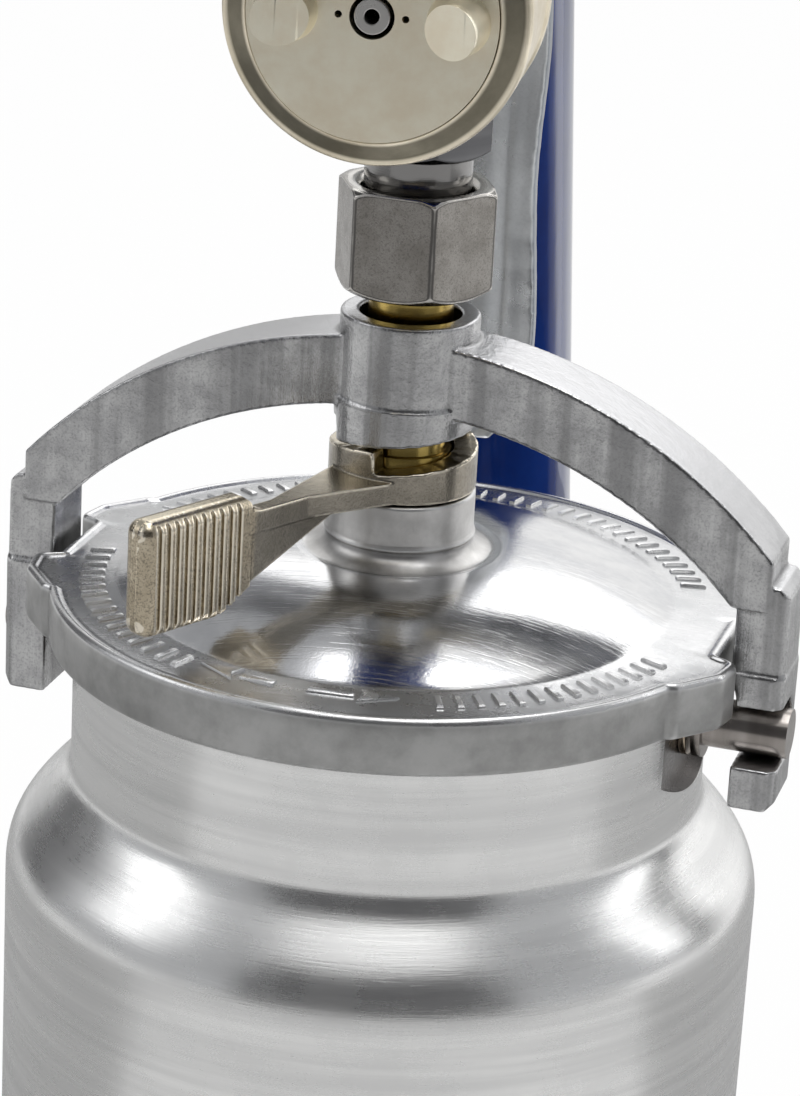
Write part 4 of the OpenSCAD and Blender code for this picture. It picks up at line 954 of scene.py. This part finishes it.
# %% Coupling nut
NUT_STEPS = 720
angle = np.arange(NUT_STEPS) * 2 * math.pi / NUT_STEPS
NUT_LOW, NUT_TOP, HALF_FLAT, HEX_TURN = 48.6, 65.0, 11.0, math.radians(51)
fold = np.abs((angle - HEX_TURN + math.pi / 6) % (math.pi / 3) - math.pi / 6)


def softer(a, b, size=0.12):
    return 0.5 * (a + b - np.sqrt((a - b) ** 2 + size ** 2))


def hexagon_outline(half_flat, trim):
    return softer(half_flat / np.cos(math.pi / 6 - fold), half_flat * 2 / math.sqrt(3) - trim)


hexagon = hexagon_outline(HALF_FLAT, 0.15)
levels = np.concatenate([np.linspace(0.02, 2.2, 14), np.linspace(3.2, 13.2, 8), np.linspace(13.8, 16.38, 18)])
rows = [(6.85, NUT_LOW), (10.2, NUT_LOW)]
for z in levels:
    cones = softer(10.45 + (z + 0.05) * 1.62, 11.55 + (16.45 - z) * 1.5)
    rows.append((softer(hexagon, np.full(NUT_STEPS, cones)), NUT_LOW + z))
rows += [(10.5, NUT_TOP), (9.5, NUT_TOP), (9.35, NUT_TOP - 0.1), (8.65, NUT_TOP - 0.75)]
rows += [(8.55, NUT_TOP - 1.0), (8.55, NUT_LOW + 2.3), (8.5, NUT_LOW + 2.2), (6.85, NUT_LOW + 2.2)]
UPRIGHT = Matrix.Translation((0, 0, LID_Z * MM))
nut = loft("coupling_nut_plated", rows, UPRIGHT)
tree = dark_nickel.node_tree
# The top and the mouth are painted light, a painted highlight, and so is a narrow band along each corner.
mouth_highlight = ramp_node(tree, place_group(tree, ring_distance)["Radius"], 0.0101, 0.0098)
top_highlight = place_group(tree, tops, Start=0.88, Full=0.97)["Mask"]
corner = place_group(tree, edge_wear_and_lines, Start=0.30, Full=0.42, Patchiness=0.1)["Mask"]
repaint(dark_nickel, math_node(tree, "MAXIMUM", mouth_highlight, top_highlight), (0.66, 0.64, 0.60))
repaint(dark_nickel, corner, (0.56, 0.54, 0.51))
finish_piece(nut, dark_nickel, "coupling", "dark_nickel", "coupling_nut", reach=0.0006)

# %% [markdown]
# The fitting above the nut is bright steel: a round neck that the nut runs on, a smaller hexagon for the
# spanner, and a stud in the gun. It is lofted in the same way. Its colours are painted shade: the hexagon
# is painted nearly black, and the neck a dark grey.

# %% Fluid inlet
HEX_LOW, HEX_H, HEX_HALF = 70.0, 11.0, 9.8
hexagon = hexagon_outline(HEX_HALF, 0.12)
levels = np.concatenate([np.linspace(0.02, 1.6, 12), np.linspace(2.4, 8.6, 6), np.linspace(9.4, 10.98, 12)])
rows = [(4.0, 53.8), (8.0, 53.8), (8.2, 54.0), (8.2, 69.5), (8.3, 69.85), (8.6, HEX_LOW), (9.3, HEX_LOW)]
for z in levels:
    cones = softer(9.5 + z * 1.5, 9.5 + (HEX_H - z) * 1.5)
    rows.append((softer(hexagon, np.full(NUT_STEPS, cones)), HEX_LOW + z))
rows += [(9.3, HEX_LOW + HEX_H), (7.0, HEX_LOW + HEX_H), (7.0, 93.8), (6.8, 94.0), (4.0, 94.0)]
inlet = loft("fluid_inlet_steel", rows, UPRIGHT)
tree = inlet_steel.node_tree
height = axis_value(tree, object_place(tree), "Z")
on_neck = ramp_node(tree, height, (LID_Z + HEX_LOW) * MM, (LID_Z + HEX_LOW - 0.4) * MM)
# The neck is painted a dark grey, lighter than the hexagon, a painted shade.
repaint(inlet_steel, on_neck, (0.26, 0.255, 0.25))
finish_piece(inlet, inlet_steel, "gun", "steel", "fluid_inlet")

# %% [markdown]
# The ring that holds the air cap is turned and plated. It has a thin bright rim, then a cone that runs
# forward to the cap's flat face. The cone is painted dark, a painted shade, and the cap's face is painted
# lighter, a painted highlight.

# %% Retaining ring
ring_nickel, tree, shader = start_finish("ring_nickel", 1.0)
grainy = place_group(tree, mottle, Patch_Scale=120.0, Grain_Scale=1500.0)
radius = place_group(tree, ring_distance, Centre=(0, 0, GUN_Z * MM), Keep=(1, 0, 1))["Radius"]
cone_painted_shade = math_node(tree, "MULTIPLY", ramp_node(tree, radius, 0.0176, 0.0182),
                    ramp_node(tree, radius, 0.0207, 0.0202))
face_painted_highlight = ramp_node(tree, radius, 0.0175, 0.0173)
colour = blend_colours(tree, grainy["Patches"], (0.78, 0.70, 0.54), (0.92, 0.84, 0.68))
# The cap's face is painted lighter, a painted highlight, and the ring's cone dark, a painted shade.
for mask, dark, light in ((face_painted_highlight, (0.93, 0.84, 0.66), (1.0, 0.95, 0.78)),
                          (cone_painted_shade, (0.175, 0.16, 0.12), (0.23, 0.21, 0.16))):
    colour = blend_colours(tree, mask, colour, blend_colours(tree, grainy["Patches"], dark, light))
connect(tree, shader, Base_Color=colour, Roughness=blend_values(tree, grainy["Patches"], 0.40, 0.28),
        Normal=bump_node(tree, grainy["Grain"], 0.25, 0.00003))
ring_profile = rounded_profile([
    (17.42, -49.8, 0.3), (20.3, -47.1, 0.3), (20.95, -47.0, 0.3), (21.4, -46.4, 0.5), (21.4, -42.0, 0.3),
    (21.0, -41.6, 0.3), (21.0, -29.0, 0.3), (21.4, -28.6, 0.3), (21.4, -26.4, 0.3), (20.3, -25.35, 0.3),
    (19.4, -25.35, 0.1), (19.4, -46.7, 0.1), (17.42, -46.7, 0.1)], 0.2)
ring = loft("retaining_ring_plated", ring_profile, ALONG_GUN)
finish_piece(ring, ring_nickel, "retainer", "nickel", "retaining_ring")

# %% [markdown]
# The small fittings are right as the CAD model has them: each keeps its mesh, gets a narrow bevel that
# catches the light, and the finish of its metal.

# %% Small fittings
FITTINGS = [
    (gun_steel, ["fluid_nozzle", "needle", "packing_nut", "fluid_knob", "fan_stem", "fan_knob", "trigger_pin",
                 "air_valve_gland", "air_valve_stem", "air_inlet"]),
    (brass, ["fluid_tube", "tube_lock_nut", "fluid_bush", "fan_bush"]),
    (pin_steel, ["cup_pins"]), (washer_bronze, ["pin_washers"]), (black_seal, ["lid_gasket"]),
    (spun_aluminium, ["dip_tube"]), (ring_nickel, ["air_cap"]),
]
BEVEL = 0.2 * MM


def dress(obj, material):
    for k in range(len(obj.data.materials)):
        obj.data.materials[k] = material


def soften_edges(obj):
    joined = obj.modifiers.new("weld", "WELD")
    joined.merge_threshold = 1e-6
    bevel = obj.modifiers.new("bevel", "BEVEL")
    bevel.width = BEVEL
    bevel.segments = 2
    bevel.limit_method = "ANGLE"
    bevel.angle_limit = math.radians(40)


for material, names in FITTINGS:
    for name in names:
        dress(nodes[name], material)
        soften_edges(nodes[name])
print("dressed", sum(len(names) for _, names in FITTINGS), "fittings")

# %% [markdown]
# Two springs of steel wire push the needle and the air valve shut, and they shorten as the trigger is pulled.
# Each is a copy of the CAD coil in steel, attached to the gun.
# A spring's row names its joint, where its fixed end is along the gun, and how far the joint slides.

# %% Springs
SPRINGS = {
    "needle_spring": ("needle_slide", 96 * MM, 3.2 * MM),
    "air_valve_spring": ("valve_slide", 99 * MM, 9 * MM),
}
for name, (joint, fixed_end, travel) in SPRINGS.items():
    wire = link(bpy.data.objects.new(name + "_wire", nodes[name].data.copy()))
    dress(wire, gun_steel)
    weld(wire.data)
    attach(wire, "gun")
    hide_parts(name)
    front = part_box(name)[0]
    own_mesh(wire)
